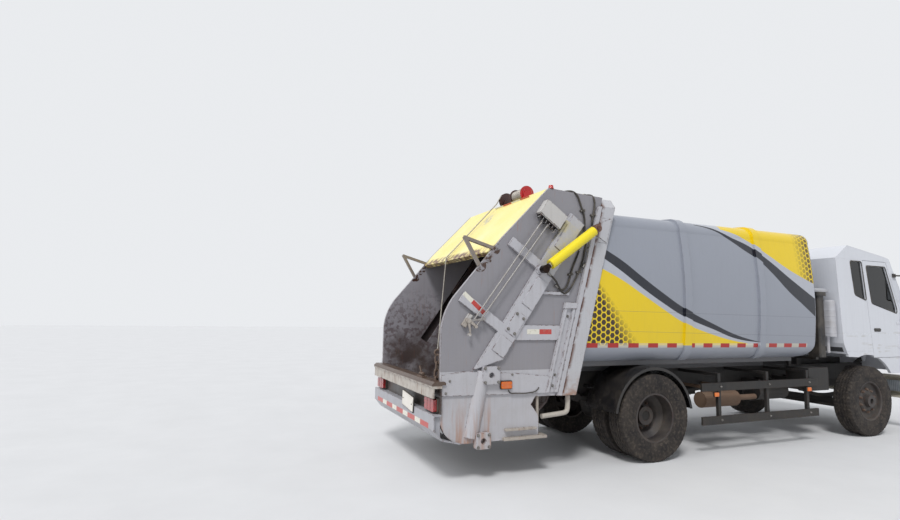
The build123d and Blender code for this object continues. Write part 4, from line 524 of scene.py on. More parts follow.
def frame_seam(height):
    """How far forward the tailgate meets the leaning frame at a height."""
    return FRAME_TOP[0] - FRAME_LEAN * (FRAME_TOP[1] - height)


def frame_colours(tree, place):
    """Pale frame whose paint is lost along the seam with the tailgate and at its foot."""
    seam = add(tree, "ShaderNodeMath", {
        0: axis_of(tree, place, "Z"), 1: FRAME_LEAN, 2: frame_seam(0.0)}, operation="MULTIPLY_ADD")
    past = add(tree, "ShaderNodeMath", {0: axis_of(tree, place, "X"), 1: seam}, operation="SUBTRACT")
    edge = add(tree, "ShaderNodeMapRange", {"Value": past, "From Min": 0.045, "From Max": 0.004})
    torn = both(tree, edge, patches(tree, place, 0.12, 0.36, 0.52))
    foot = both(tree, below(tree, place, 1.12, 0.25), patches(tree, place, 0.1, 0.40, 0.60))
    return layered(tree, ink("#B7B7BB"), [(torn, ink("#5A3423")), (thinned(tree, foot, 0.7), ink("#94603A"))])


# Other finishes


def worn_trough_steel(name, wear, rust_share=0.55):
    """Bare steel plate of the trough, scoured by its load: low grime, rust and bright scratches."""
    material, tree, shader, place = start(name, metallic=0.35, roughness=0.62)
    blotch = patches(tree, place, 0.16, 0.42, 0.62)
    spots = patches(tree, place, 0.03, 0.5, 0.6)
    stretched = add(tree, "ShaderNodeVectorMath", {0: place, 1: (55.0, 6.0, 9.0)}, operation="MULTIPLY")
    cloud = add(tree, "ShaderNodeTexNoise", {"Vector": stretched, "Scale": 1.0, "Detail": 6.0})
    scratch = add(tree, "ShaderNodeMapRange", {"Value": cloud, "From Min": 0.58, "From Max": 0.66})
    grimy = both(tree, below(tree, place, 2.0, 1.0), patches(tree, place, 0.35, 0.25, 0.65))
    coat_over(tree, shader, ink("#4E494B"), [
        (blotch, rust_share, ink("#4E3426")), (spots, 0.6 * rust_share, ink(RUST_DARK)),
        (grimy, wear.grime, ink("#2C2622")), (scratch, 0.32, ink("#8D8985")),
    ])
    rough = add(tree, "ShaderNodeMapRange", {"Value": spots, "To Min": 0.5, "To Max": 0.88})
    join(tree, rough, shader, "Roughness")
    soft_edge_relief(tree, shader, patches(tree, place, 0.018, 0.2, 0.8), 0.0014)
    return material


def black_chassis_enamel(wear):
    """Brushed-on black chassis enamel: nearly matt under dried mud and dust."""
    return enamel_on_steel("black_chassis_enamel", ink("#161617"), wear, roughness=0.5, dust=0.5, rust=0.5,
                           dust_top=1.3, coat=0.0)


def rubber(name, colour, dusty):
    """Vulcanised tyre rubber, carbon black, with patches of dust and dried mud rubbed in."""
    material, tree, shader, place = start(name, roughness=0.78, Specular_IOR_Level=0.35)
    cloud = patches(tree, place, 0.12, 0.35, 0.7)
    smear = patches(tree, place, 0.035, 0.5, 0.68)
    coat_over(tree, shader, colour, [
        (cloud, 0.75 * dusty, ink("#5F554B")), (smear, 0.55 * dusty, ink("#7C7164"))])
    grain = patches(tree, place, 0.0025, 0.2, 0.8, detail=2.0)
    relief = add(tree, "ShaderNodeBump", {"Strength": 0.6, "Distance": 0.0006, "Height": grain})
    join(tree, relief, shader, "Normal")
    return material


def moulded_plastic(name, colour, roughness, dusty, grain=0.0012):
    """Injection-moulded plastic: a fine leather grain that scatters the gloss, and patches of dust."""
    material, tree, shader, place = start(name, roughness=roughness)
    coat_over(tree, shader, colour, [(patches(tree, place, 0.2, 0.35, 0.7), dusty, ink(DUST))])
    pits = add(tree, "ShaderNodeTexVoronoi", {"Vector": place, "Scale": 1.0 / (grain * 4)}, output="Distance")
    soft_edge_relief(tree, shader, pits, grain / 4)
    return material


def drawn_steel(name, colour, roughness):
    """Drawn or ground steel bar: bright, with a fine grain and a trace of oil."""
    material, tree, shader, place = start(name, metallic=1.0, roughness=roughness)
    base = colour(tree, place) if callable(colour) else colour
    coat_over(tree, shader, base, [(patches(tree, place, 0.04, 0.4, 0.7), 0.35, ink("#4B4138"))])
    grain = patches(tree, place, 0.003, 0.2, 0.8)
    soft_edge_relief(tree, shader, grain, 0.0002, edge=0.002)
    return material


def tinted_glass():
    """Tempered glass with a dark tint: clear and smooth, with a film of dust."""
    material, tree, shader, place = start(
        "tinted_safety_glass", roughness=0.04, IOR=1.5, Transmission_Weight=1.0)
    film = patches(tree, place, 0.25, 0.4, 0.8)
    dusted = layered(tree, ink("#1B2022"), [(both(tree, film, film), ink("#2B3032"))])
    join(tree, dusted, shader, "Base Color")
    haze = add(tree, "ShaderNodeMapRange", {"Value": film, "To Min": 0.03, "To Max": 0.16})
    join(tree, haze, shader, "Roughness")
    return material


def acrylic_lens(name, colour):
    """Coloured acrylic lamp lens: glossy outside, with moulded ribs that show as level lines."""
    material, tree, shader, place = start(
        name, roughness=0.12, IOR=1.49, Coat_Weight=0.6, Coat_Roughness=0.05, Subsurface_Weight=0.15)
    ribs = add(tree, "ShaderNodeTexWave", {"Vector": place, "Scale": 18.0}, bands_direction="Z")
    base = colour(tree, place) if callable(colour) else colour
    coat_over(tree, shader, base, [(patches(tree, place, 0.05, 0.5, 0.8), 0.3, ink(DUST))])
    relief = add(tree, "ShaderNodeBump", {"Strength": 0.7, "Distance": 0.0012, "Height": ribs})
    join(tree, relief, shader, "Normal")
    return material


def clear_lens():
    """Clear acrylic headlamp lens: glossy, with upright flutes drawn as bands of painted shade."""
    material, tree, shader, place = start("clear_lamp_lens", roughness=0.08, IOR=1.49, Coat_Weight=0.5)
    flutes = add(tree, "ShaderNodeTexWave", {"Vector": place, "Scale": 12.0}, bands_direction="Y")
    # The darker bands #8F969C are painted shade of the flutes.
    join(tree, layered(tree, ink("#B9BFC4"), [(flutes, ink("#8F969C"))]), shader, "Base Color")
    return material


def silvered_glass():
    """Silvered mirror glass: a mirror's gloss under a thin film of dust."""
    material, tree, shader, place = start("silvered_mirror_glass", metallic=1.0, roughness=0.05)
    film = patches(tree, place, 0.1, 0.45, 0.75)
    join(tree, layered(tree, ink("#C9CED2"), [(film, ink("#A9A9A5"))]), shader, "Base Color")
    return material


def sealed_concrete():
    """Sealed concrete floor: pale and matt, with faint clouds."""
    material, tree, shader, place = start("sealed_concrete_floor", roughness=0.85)
    grain = patches(tree, place, 0.8, 0.2, 0.8)
    join(tree, layered(tree, ink("#D9D9DA"), [(grain, ink("#D2D2D3"))]), shader, "Base Color")
    return material


def woven_seat_cloth():
    """Woven polyester seat cloth: matt, with ribs drawn about 6 mm apart so that they show."""
    material, tree, shader, place = start("woven_seat_cloth", roughness=0.92, Sheen_Weight=0.3)
    ribs = add(tree, "ShaderNodeTexWave", {"Vector": place, "Scale": 1.0 / 0.019}, bands_direction="Y")
    worn = patches(tree, place, 0.15, 0.4, 0.7)
    coat_over(tree, shader, ink("#3A3B40"), [(worn, 0.4, ink("#5A5752"))])
    relief = add(tree, "ShaderNodeBump", {"Strength": 0.6, "Distance": 0.001, "Height": ribs})
    join(tree, relief, shader, "Normal")
    return material


# Tyres

TREAD_STEPS = 216
STEPS_PER_BLOCK = 4
ZIGZAG = 0.009
CUT_SHARE = 0.75
RIM_LIP = 0.0117


def tyre_columns(half, radius, depth, seat):
    """Across the tyre: place along the axle, radius, share of the zigzag and share of the cross cuts."""
    floor = radius - depth
    columns = [
        (-0.72 * half, seat, 0, 0), (-0.90 * half, seat + 0.014, 0, 0), (-0.955 * half, 0.66 * radius, 0, 0),
        (-0.965 * half, 0.665 * radius, 0, 0), (-0.995 * half, 0.74 * radius, 0, 0),
        (-half, 0.79 * radius, 0, 0),
        (-0.99 * half, 0.845 * radius, 0, 0), (-0.97 * half, 0.852 * radius, 0, 0),
        (-0.955 * half, 0.9 * radius, 0, 0), (-0.93 * half, floor + 0.002, 0, 0.4),
        (-0.86 * half, radius - 0.004, 0, 1), (-0.8 * half, radius, 0, 1), (-0.56 * half, radius, 0, 0.5),
    ]
    for centre in (-0.5, -0.17):
        columns += [
            (centre * half - 0.0055, radius, 1, 0), (centre * half - 0.0035, floor, 1, 0),
            (centre * half + 0.0035, floor, 1, 0), (centre * half + 0.0055, radius, 1, 0),
        ]
    return columns + [(-y, r, zig, cut) for y, r, zig, cut in reversed(columns)]


def tyre_mesh(centres, half, radius, depth, seat):
    """Points and faces of tyres side by side on one axle."""
    points, faces = [], []
    columns = tyre_columns(half, radius, depth, seat)
    count = len(columns)
    for centre in centres:
        first = len(points)
        for step in range(TREAD_STEPS):
            angle = 2 * math.pi * step / TREAD_STEPS
            phase = (step % STEPS_PER_BLOCK) / STEPS_PER_BLOCK
            zigzag = ZIGZAG * (abs(2 * phase - 1) * 2 - 1)
            cut_here = step % STEPS_PER_BLOCK == 0
            for y, r, zig, cut in columns:
                near = r - (depth * CUT_SHARE * cut if cut_here else 0)
                points.append((centre.x + near * math.sin(angle), centre.y + y + zig * zigzag,
                               centre.z + near * math.cos(angle)))
        for step in range(TREAD_STEPS):
            here = first + step * count
            after = first + (step + 1) % TREAD_STEPS * count
            for i in range(count):
                j = (i + 1) % count
                faces.append((here + i, here + j, after + j, after + i))
    return points, faces


class TRUCK_OT_tyres(bpy.types.Operator):
    """Tyres with zigzag grooves and cut shoulders"""

    bl_idname = "truck.tyres"
    bl_label = "Tyres"

    def execute(self, context):
        detail = context.scene.truck_detail
        material = rubber("vulcanised_rubber", ink("#201D1D"), 0.4)
        low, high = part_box("front_tyre_left")
        half = (high.y - low.y) / 2
        radius = (high.z - low.z) / 2
        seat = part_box("front_rim_left")[1].z - (low.z + high.z) / 2 - RIM_LIP
        for side in ("left", "right"):
            for stem, body in (("front_tyre", "front_wheel"), ("rear_tyres", "rear_wheels")):
                low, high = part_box(f"{stem}_{side}")
                middle = (low + high) / 2
                ends = {low.y + half, high.y - half} if stem == "rear_tyres" else {middle.y}
                centres = [Vector((middle.x, y, middle.z)) for y in sorted(ends)]
                points, faces = tyre_mesh(centres, half, radius, detail.tread, seat)
                piece = from_faces(f"{stem}_{side}_tread", points, faces, material, f"{body}_{side}", 30)
                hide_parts(f"{stem}_{side}")
        return {"FINISHED"}


# Shapes that the fine pieces are made from

LEVEL = ((1, 0, 0), (0, 1, 0))
SIDE_ON = ((1, 0, 0), (0, 0, 1))
END_ON = ((0, 1, 0), (0, 0, 1))


def round_corners(width, height, radius, steps=4):
    """Outline of a rectangle with round corners, about its middle."""
    spots = []
    for quarter, (u, v) in enumerate(((1, 1), (-1, 1), (-1, -1), (1, -1))):
        for step in range(steps + 1):
            angle = math.pi / 2 * (quarter + step / steps)
            spots.append((u * (width / 2 - radius) + radius * math.cos(angle),
                          v * (height / 2 - radius) + radius * math.sin(angle)))
    return spots


def inset(outline, by):
    """Outline moved inward all round, or outward where the distance is negative."""
    spots = [Vector(spot) for spot in outline]
    area = sum(a.x * b.y - a.y * b.x for a, b in zip(spots, spots[1:] + spots[:1]))
    moved = []
    for i, spot in enumerate(spots):
        before = (spot - spots[i - 1]).normalized()
        after = (spots[(i + 1) % len(spots)] - spot).normalized()
        side = Vector((-before.y - after.y, before.x + after.x)) * (1 if area > 0 else -1)
        moved.append(spot + side * (2 * by / max(side.length_squared, 0.4)))
    return moved


def placed(outline, at, across, up, lift):
    """Outline set in space, on two ways and raised by a lift."""
    at, across, up = Vector(at), Vector(across).normalized(), Vector(up).normalized()
    return [at + across * u + up * v + lift for u, v in outline]


def around_axis(axis):
    """An axis at unit length, and two ways that stand square to it."""
    axis = Vector(axis).normalized()
    side = axis.orthogonal().normalized()
    return axis, side, axis.cross(side)


class Shapes:
    """Points and faces of like pieces that share one mesh."""

    def __init__(self):
        self.points = []
        self.faces = []

    def skin(self, rings, lids=True):
        """Faces between rings of equal count, with lids on both ends or joined in a loop."""
        first = len(self.points)
        count = len(rings[0])
        for ring in rings:
            self.points += ring
        for k in range(len(rings) if not lids else len(rings) - 1):
            here = first + k * count
            after = first + (k + 1) % len(rings) * count
            for i in range(count):
                j = (i + 1) % count
                self.faces.append((here + i, here + j, after + j, after + i))
        if lids:
            last = first + (len(rings) - 1) * count
            self.faces += [tuple(range(first, first + count)), tuple(range(last, last + count))]

    def plate(self, outline, at, across, up, rise, bevel=0.0015):
        """Plate on an outline, raised along a vector, with its front edge bevelled."""
        rise = Vector(rise)
        shoulder = rise * (1 - bevel / rise.length)
        levels = ((outline, rise * 0), (outline, shoulder), (inset(outline, bevel), rise))
        self.skin([placed(spots, at, across, up, lift) for spots, lift in levels])

    def rim(self, outline, at, across, up, rise, width, bevel=0.002):
        """Raised rim that reaches outward from an outline."""
        rise = Vector(rise)
        shoulder = rise * (1 - bevel / rise.length)
        wide = inset(outline, -width)
        levels = (
            (wide, rise * 0), (wide, shoulder), (inset(wide, bevel), rise),
            (inset(outline, -bevel), rise), (outline, shoulder), (outline, rise * 0),
        )
        self.skin([placed(spots, at, across, up, lift) for spots, lift in levels], lids=False)

    def turned(self, profile, at, axis, steps=24):
        """Turned piece: its profile is (place along the axis, radius)."""
        at = Vector(at)
        axis, side, other = around_axis(axis)
        turns = [2 * math.pi * i / steps for i in range(steps)]
        self.skin([[at + axis * along + radius * (side * math.cos(a) + other * math.sin(a)) for a in turns]
                   for along, radius in profile])

    def bolt(self, at, axis, flats):
        """Hexagon head with its chamfer, on a washer."""
        corner = flats / math.sqrt(3)
        self.turned([(0, 1.35 * corner), (0.12 * flats, 1.35 * corner)], at, axis, 18)
        head = Vector(at) + Vector(axis).normalized() * (0.12 * flats)
        self.turned([(0, corner), (0.52 * flats, corner), (0.62 * flats, 0.84 * corner)], head, axis, 6)

    def bar(self, start_at, end_at, radius, steps=12):
        """Round bar between two places, with softened ends."""
        start_at, end_at = Vector(start_at), Vector(end_at)
        run = (end_at - start_at).length
        lip = min(radius * 0.3, run * 0.2)
        self.turned([(0, radius - lip), (lip, radius), (run - lip, radius), (run, radius - lip)], start_at,
                    end_at - start_at, steps)

    def ring_at(self, at, axis, radius, thick, steps=20, around=8):
        """Round ring about an axis."""
        at = Vector(at)
        axis, side, other = around_axis(axis)
        rings = []
        for i in range(steps):
            a = 2 * math.pi * i / steps
            way = side * math.cos(a) + other * math.sin(a)
            rings.append([
                at + way * (radius + thick * math.cos(b)) + axis * (thick * math.sin(b))
                for b in (2 * math.pi * k / around for k in range(around))])
        self.skin(rings, lids=False)

    def sweep(self, path, radius, around=8, lobes=0, lay=0.08):
        """Round bar along a path, or a rope whose strands turn once in each lay."""
        way = (path[1] - path[0]).normalized()
        side = way.orthogonal().normalized()
        run, rings = 0.0, []
        for i, spot in enumerate(path):
            after = path[min(i + 1, len(path) - 1)] - path[max(i - 1, 0)]
            side = (side - after * side.dot(after) / after.length_squared).normalized()
            other = after.normalized().cross(side)
            run += (spot - path[i - 1]).length if i else 0.0
            ring = []
            for k in range(around):
                a = 2 * math.pi * k / around
                r = radius * (0.84 + 0.16 * abs(math.cos(lobes * a / 2))) if lobes else radius
                a += 2 * math.pi * run / lay if lobes else 0.0
                ring.append(spot + side * (r * math.cos(a)) + other * (r * math.sin(a)))
            rings.append(ring)
        self.skin(rings)

    def done(self, name, material, body, smooth_below=40):
        """The object of these shapes, riding on a body."""
        return from_faces(name, self.points, self.faces, material, body, smooth_below)


def pipe(name, route, diameter, material, body):
    """Bent pipe or clamped hose, on a smooth line led by these points."""
    curve = bpy.data.curves.new(name, "CURVE")
    curve.dimensions = "3D"
    line = curve.splines.new("NURBS")
    line.points.add(len(route) - 1)
    for point, spot in zip(line.points, route):
        point.co = (*spot, 1.0)
    line.order_u = 3
    line.use_endpoint_u = True
    curve.bevel_depth = diameter / 2
    curve.bevel_resolution = 3
    curve.resolution_u = 10
    curve.use_fill_caps = True
    curve.materials.append(material)
    piece = bpy.data.objects.new(name, curve)
    bpy.context.scene.collection.objects.link(piece)
    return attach(piece, body)


# Where rays start, clear of the truck
FAR_OUT = 2.0
FAR_BEHIND = -5.0
FAR_AHEAD = 6.0
FAR_UP = 4.0


def face_on(node, start_at, way):
    """Where a ray from a place first meets a node."""
    met, spot, _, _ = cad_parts[node].ray_cast(Vector(start_at), Vector(way).normalized())
    if not met:
        raise RuntimeError(f"no face of {node} from {tuple(start_at)}")
    return spot


def kept(name, make):
    """Material of this name, made the first time it is asked for."""
    return bpy.data.materials.get(name) or make()


def zinc():
    """Zinc-plated fasteners, dulled."""
    return kept("dull_zinc_plate", lambda: drawn_steel("dull_zinc_plate", ink("#8F8C88"), 0.45))


def black_rubber():
    """Moulded black rubber of hoses and seals."""
    return kept("black_hose_rubber", lambda: moulded_plastic("black_hose_rubber", ink("#161616"), 0.62, 0.3))


def rusty_bar():
    """Steel bar that lost most of its paint."""
    wear = bpy.context.scene.truck_wear
    return kept("rusty_bar_steel", lambda: enamel_on_steel(
        "rusty_bar_steel", ink("#5B4A40"), wear, roughness=0.7, dust=0.8, rust=1.6, coat=0.0))


def tape_film(red):
    """Glass-bead reflective film under a clear face, with fine cells whose lighter parts are painted glint of
    the beads.
    """
    name = "red_reflective_film" if red else "white_reflective_film"
    base, bead = (ink("#AE2018"), ink("#C9564E")) if red else (ink("#CFCBBB"), ink("#F0EEE6"))

    def make():
        material, tree, shader, place = start(name, roughness=0.28, Coat_Weight=0.4)
        cells = add(tree, "ShaderNodeTexVoronoi", {"Vector": place, "Scale": 260.0}, output="Distance")
        # The lighter bead colour in each cell is painted glint, not the film's own colour.
        bright = add(tree, "ShaderNodeMapRange", {
            "Value": cells, "From Min": 0.2, "From Max": 0.5, "To Max": 0.35})
        cover = thinned(tree, patches(tree, place, 0.03, 0.52, 0.7), 0.45)
        join(tree, layered(tree, base, [(bright, bead), (cover, ink(DUST))]), shader, "Base Color")
        return material

    return kept(name, make)


def tape_run(name, start_at, end_at, up, rise, width, blocks, body):
    """Tape between two places, in blocks of (red or not, share of the run)."""
    start_at, end_at = Vector(start_at), Vector(end_at)
    run = end_at - start_at
    shapes = {True: Shapes(), False: Shapes()}
    done = 0.0
    whole = sum(share for _, share in blocks)
    for red, share in blocks:
        size = run.length * share / whole
        middle = start_at + run.normalized() * (done + size / 2)
        shapes[red].plate(round_corners(size - 0.001, width, 0.002, 2), middle, run, up, rise, 0.0004)
        done += size
    for red, shape in shapes.items():
        if shape.points:
            shape.done(f"{name}_{'red' if red else 'white'}", tape_film(red), body)


# Fittings of the tailgate

AXLE_X = (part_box("rear_tyres_left")[0].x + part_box("rear_tyres_left")[1].x) / 2
WALL_FACE = 1.092
SHEET_HALF = 0.015
BAND_FACE = 1.112
SLOPE_ORIGIN = Vector((-2.942, 0.0, 1.916))
SLOPE_ALONG = Vector((0.5711, 0.0, 0.8209))
SLOPE_ACROSS = Vector((0.8209, 0.0, -0.5711))
SLOT = ((-0.80, 1.02), (-0.24, -0.106))
OVERSPRAY = ((0.5, 0.98), (-0.26, 0.0))
BAND_TOP = 1.143
BLEED_FROM_X = -3.55
BARREL_PIN = (AXLE_X - 0.904, 0.0, 2.780)
BARREL_EYE = 0.062
ROD_PIN = (AXLE_X - 1.632, 0.0, 2.262)
ROD_EYE = 0.075
GUARD_FOOT_REACH = 0.075
GUARD_FEET = ((AXLE_X - 2.376, 2.278), (AXLE_X - 2.29, 2.38), (AXLE_X - 2.201, 2.478))
RIGHT, LEFT = -1, 1
SIDES = ((RIGHT, "right"), (LEFT, "left"))


def on_side(side, x, z, y):
    """Place on the right or left of the truck."""
    return Vector((x, side * y, z))


def on_slope(side, along, across, y):
    """Place on the right or left, in the tailgate's slope."""
    spot = SLOPE_ORIGIN + SLOPE_ALONG * along + SLOPE_ACROSS * across
    return Vector((spot.x, side * y, spot.z))


def slope_share(tree, place, way):
    """How far each point lies along a way in the tailgate's slope."""
    moved = add(tree, "ShaderNodeVectorMath", {0: place, 1: SLOPE_ORIGIN[:]}, operation="SUBTRACT")
    return add(tree, "ShaderNodeVectorMath", {0: moved, 1: way[:]}, output="Value", operation="DOT_PRODUCT")


def on_field(tree, place, field):
    """Cover of a field given by its spans along and across the tailgate's slope."""
    return both(tree, between(tree, slope_share(tree, place, SLOPE_ALONG), *field[0]),
                between(tree, slope_share(tree, place, SLOPE_ACROSS), *field[1]))


def wall_colours(paint):
    """Builder of the side walls' colours: dark panels between pale ribs, worn foot, scoured inside, and
    painted shade in the carriage's slot.
    """

    def colours(tree, place):
        half = add(tree, "ShaderNodeMath", {0: axis_of(tree, place, "Y")}, operation="ABSOLUTE")
        panel = both(tree, less_than(tree, half, WALL_FACE + 0.006),
                     more_than(tree, axis_of(tree, place, "Z"), BAND_TOP))
        inner = less_than(tree, half, WALL_FACE - SHEET_HALF)
        mottle = both(tree, inner, patches(tree, place, 0.07, 0.50, 0.56, detail=6.0))
        mottle = both(tree, mottle, below(tree, place, 2.15, 0.5))
        stain = both(tree, below(tree, place, 1.9, 0.7), patches(tree, place, 0.3, 0.34, 0.62))
        # The near-black #2B2526 here is painted shade in the carriage's slot.
        slot = both(tree, on_field(tree, place, SLOT),
                    between(tree, half, WALL_FACE - SHEET_HALF, BAND_FACE + 0.008))
        mist = both(tree, on_field(tree, place, OVERSPRAY), patches(tree, place, 0.25, 0.46, 0.7))
        foot = both(tree, below(tree, place, 0.92, 0.5),
                    less_than(tree, axis_of(tree, place, "X"), BLEED_FROM_X))
        bleed = both(tree, foot, streaks(tree, place, 0.05, 0.5, 0.42, 0.66))
        bleed = both(tree, bleed, outside(tree, inner))
        torn = 0.0
        for x, z in GUARD_FEET:
            torn = either(tree, torn, near_pin(tree, place, (x, 0.0, z), GUARD_FOOT_REACH))
        torn = both(tree, torn, patches(tree, place, 0.05, 0.46, 0.54))
        return layered(tree, paint.tailgate[:], [
            (panel, ink("#8A888D")), (thinned(tree, mist, 0.75), ink("#D2BF3C")),
            (thinned(tree, bleed, 0.85), ink("#A2673A")), (inner, ink("#9A979D")), (mottle, ink("#736A6E")),
            (both(tree, inner, stain), ink("#463A3A")), (torn, ink("#3F281D")), (slot, ink("#2B2526")),
        ])

    return colours


HOOD_LIP = (-3.485, -3.515)
HOOD_SCUFF = (-3.02, 0.05, 3.0)
SCUFF_REACH = (0.16, 0.06)


def hood_colours(paint):
    """Builder of the hood's colours: faded yellow, a scuffed grey patch, rust along its lower lip."""

    def colours(tree, place):
        lip = add(tree, "ShaderNodeMapRange", {
            "Value": axis_of(tree, place, "X"), "From Min": HOOD_LIP[0], "From Max": HOOD_LIP[1]})
        lip = both(tree, lip, patches(tree, place, 0.09, 0.36, 0.56))
        spot = add(tree, "ShaderNodeVectorMath", {
            0: place, 1: HOOD_SCUFF}, output="Value", operation="DISTANCE")
        scuff = add(tree, "ShaderNodeMapRange", {
            "Value": spot, "From Min": SCUFF_REACH[0], "From Max": SCUFF_REACH[1]})
        scuff = both(tree, scuff, patches(tree, place, 0.06, 0.42, 0.6))
        bleached = both(tree, patches(tree, place, 0.5, 0.42, 0.66), below(tree, place, 3.4, 0.9))
        return layered(tree, paint.hood[:], [
            (thinned(tree, bleached, 0.5), ink("#F6EFC4")), (scuff, ink("#A9A79F")), (lip, ink("#6B4A38"))])

    return colours


SILL_BOARD = (1.0, 1.012)


def sill_colours(tree, place):
    """Bare rusted board on top of a worn white apron."""
    board = add(tree, "ShaderNodeMapRange", {
        "Value": axis_of(tree, place, "Z"), "From Min": SILL_BOARD[0], "From Max": SILL_BOARD[1]})
    drip = both(tree, streaks(tree, place, 0.045, 0.3, 0.5, 0.68),
                patches(tree, place, 0.22, 0.38, 0.58))
    smear = thinned(tree, patches(tree, place, 0.09, 0.5, 0.66), 0.6)
    return layered(tree, ink("#B3ACA3"), [
        (smear, ink("#8C7F74")), (drip, ink("#6E4630")), (board, ink("#4A372C"))])


RECESS_FOOT = 0.719
FLANGE_Y = -0.37


def panel_colours(tree, place):
    """Grey lower panel under a recess painted nearly black as painted shade."""
    # The recess's near-black #2B2627 is painted shade in the recess, not the panel's own colour.
    recess = more_than(tree, axis_of(tree, place, "Z"), RECESS_FOOT)
    return layered(tree, ink("#A3A4AB"), [(recess, ink("#2B2627"))])


def winch_colours(tree, place):
    """Red flange at the right end, the rest gone dark with rust and grease."""
    red = less_than(tree, axis_of(tree, place, "Y"), FLANGE_Y)
    return layered(tree, ink("#3B211F"), [(red, ink("#B0191C"))])


def near_pin(tree, place, pin, reach):
    """Cover of what lies near a pin, seen along the truck's width."""
    flat = add(tree, "ShaderNodeVectorMath", {0: place, 1: (1.0, 0.0, 1.0)}, operation="MULTIPLY")
    away = add(tree, "ShaderNodeVectorMath", {0: flat, 1: pin}, output="Value", operation="DISTANCE")
    return less_than(tree, away, reach)


LEVERS_ALONG = (-0.83, -0.70)
RODS_ALONG = (-0.70, 0.735)
RODS_ACROSS = (-0.60, -0.40)
FITTINGS_ALONG = (0.735, 0.79)


def gear_colours(tree, place):
    """Pale valve box, black fittings, bare rods and worn white levers."""
    along = slope_share(tree, place, SLOPE_ALONG)
    return layered(tree, ink("#BDBAB7"), [
        (between(tree, along, *FITTINGS_ALONG), ink("#1C1B1C")),
        (on_field(tree, place, (RODS_ALONG, RODS_ACROSS)), ink("#8F8B88")),
        (between(tree, along, *LEVERS_ALONG), ink("#A79F96")),
    ])


MARKERS_FROM_X = -3.6
BEACON_FROM_Z = 1.3


def lamp_colours(tree, place):
    """Amber side markers and deep red rear lamps; the beacon is a brighter red."""
    ahead = more_than(tree, axis_of(tree, place, "X"), MARKERS_FROM_X)
    low = less_than(tree, axis_of(tree, place, "Z"), BEACON_FROM_Z)
    return layered(tree, ink("#B01D10"), [(low, ink("#98161A")), (both(tree, ahead, low), ink("#D2640F"))])


HOSE_ROUTES = (
    ("lift_hose_long", (
        (-2.545, 3.232, 0.96), (-2.50, 3.246, 1.05), (-2.43, 3.2, 1.112), (-2.375, 3.075, 1.106),
        (-2.314, 2.919, 1.106), (-2.324, 2.781, 1.106), (-2.296, 2.626, 1.106), (-2.335, 2.45, 1.106),
        (-2.382, 2.304, 1.106), (-2.437, 2.212, 1.108), (-2.53, 2.06, 1.112), (-2.625, 1.985, 1.116),
        (-2.71, 2.08, 1.128), (-2.754, 2.156, 1.138), (-2.831, 2.207, 1.141),
    )),
    ("lift_hose_short", (
        (-2.23, 3.222, 0.97), (-2.19, 3.226, 1.06), (-2.172, 3.16, 1.106), (-2.167, 3.07, 1.106),
        (-2.221, 2.835, 1.106), (-2.214, 2.675, 1.106), (-2.259, 2.444, 1.106), (-2.33, 2.35, 1.106),
    )),
    ("packer_hose", (
        (-2.40, 2.52, 1.106), (-2.435, 2.436, 1.106), (-2.503, 2.298, 1.106), (-2.544, 2.163, 1.106),
        (-2.585, 2.073, 1.106), (-2.651, 2.027, 1.108), (-2.72, 2.075, 1.118),
    )),
)
MARKER_CABLE = (
    (-3.352, 0.935, 1.118), (-3.34, 0.90, 1.12), (-3.264, 0.899, 1.119), (-3.143, 0.893, 1.119),
    (-3.06, 0.899, 1.119), (-2.997, 0.91, 1.119), (-2.965, 0.95, 1.118),
)
CABLE_THICK = 0.012
CLAMP_HIGH = 0.021
HOSE_CLIPS = ((-2.345, 3.0), (-2.31, 2.70), (-2.194, 2.96), (-2.236, 2.56), (-2.41, 2.262), (-2.524, 2.23))


def tailgate_hoses(hose):
    """Hydraulic hoses on the right wall, with crimped ends and block clamps, and the marker lamp's cable."""
    ends, clips, screws = Shapes(), Shapes(), Shapes()
    sleeve = [(-0.012, 0.55 * hose), (-0.008, 0.66 * hose), (0.024, 0.66 * hose), (0.028, 0.5 * hose)]
    nut = [(0, 0.72 * hose), (0.016, 0.72 * hose), (0.018, 0.64 * hose)]
    for name, route in HOSE_ROUTES:
        spots = [on_side(RIGHT, x, z, y) for x, z, y in route]
        pipe(name, spots, hose, black_rubber(), "tailgate")
        for spot, beside in ((spots[0], spots[1]), (spots[-1], spots[-2])):
            way = (spot - beside).normalized()
            ends.turned(sleeve, spot, way, 16)
            ends.turned(nut, spot + way * 0.022, way, 6)
    for x, z in HOSE_CLIPS:
        clips.plate(round_corners(0.074, 0.026, 0.005), on_side(RIGHT, x, z, WALL_FACE), (1, 0, 0.2),
                    (-0.2, 0, 1), (0, -CLAMP_HIGH, 0), 0.003)
        for shift in (-0.025, 0.025):
            screws.bolt(on_side(RIGHT, x + shift, z + 0.2 * shift, WALL_FACE + CLAMP_HIGH), (0, -1, 0), 0.010)
    ends.done("hose_crimped_ends", zinc(), "tailgate")
    clips.done("hose_clamps", black_rubber(), "tailgate")
    screws.done("hose_clamp_screws", zinc(), "tailgate")
    cable = [on_side(RIGHT, x, z, y) for x, z, y in MARKER_CABLE]
    pipe("marker_lamp_cable", cable, CABLE_THICK, black_rubber(), "tailgate")


BEAM_PLATE = ((-0.505, -0.165), (-0.305, -0.165), (-0.505, -0.07), (-0.305, -0.07))
GUIDE_PLATES = ((2.253, 1.1025, 0.200, 0.189), (2.3445, 0.428, 0.171, 0.166))
PLATE_MARGIN = 0.022
BAND_BOLTS = ((-4.084, 0.928), (-4.04, 1.05), (-3.30, 1.10))
POST_BOLTS = (0.96, 1.08, 1.74)
POST_BEHIND_SEAM = 0.145
HINGE_PIN = (AXLE_X - 0.771, 3.257)
HINGE_CAPS = ((0.662, -1), (0.81, 1))


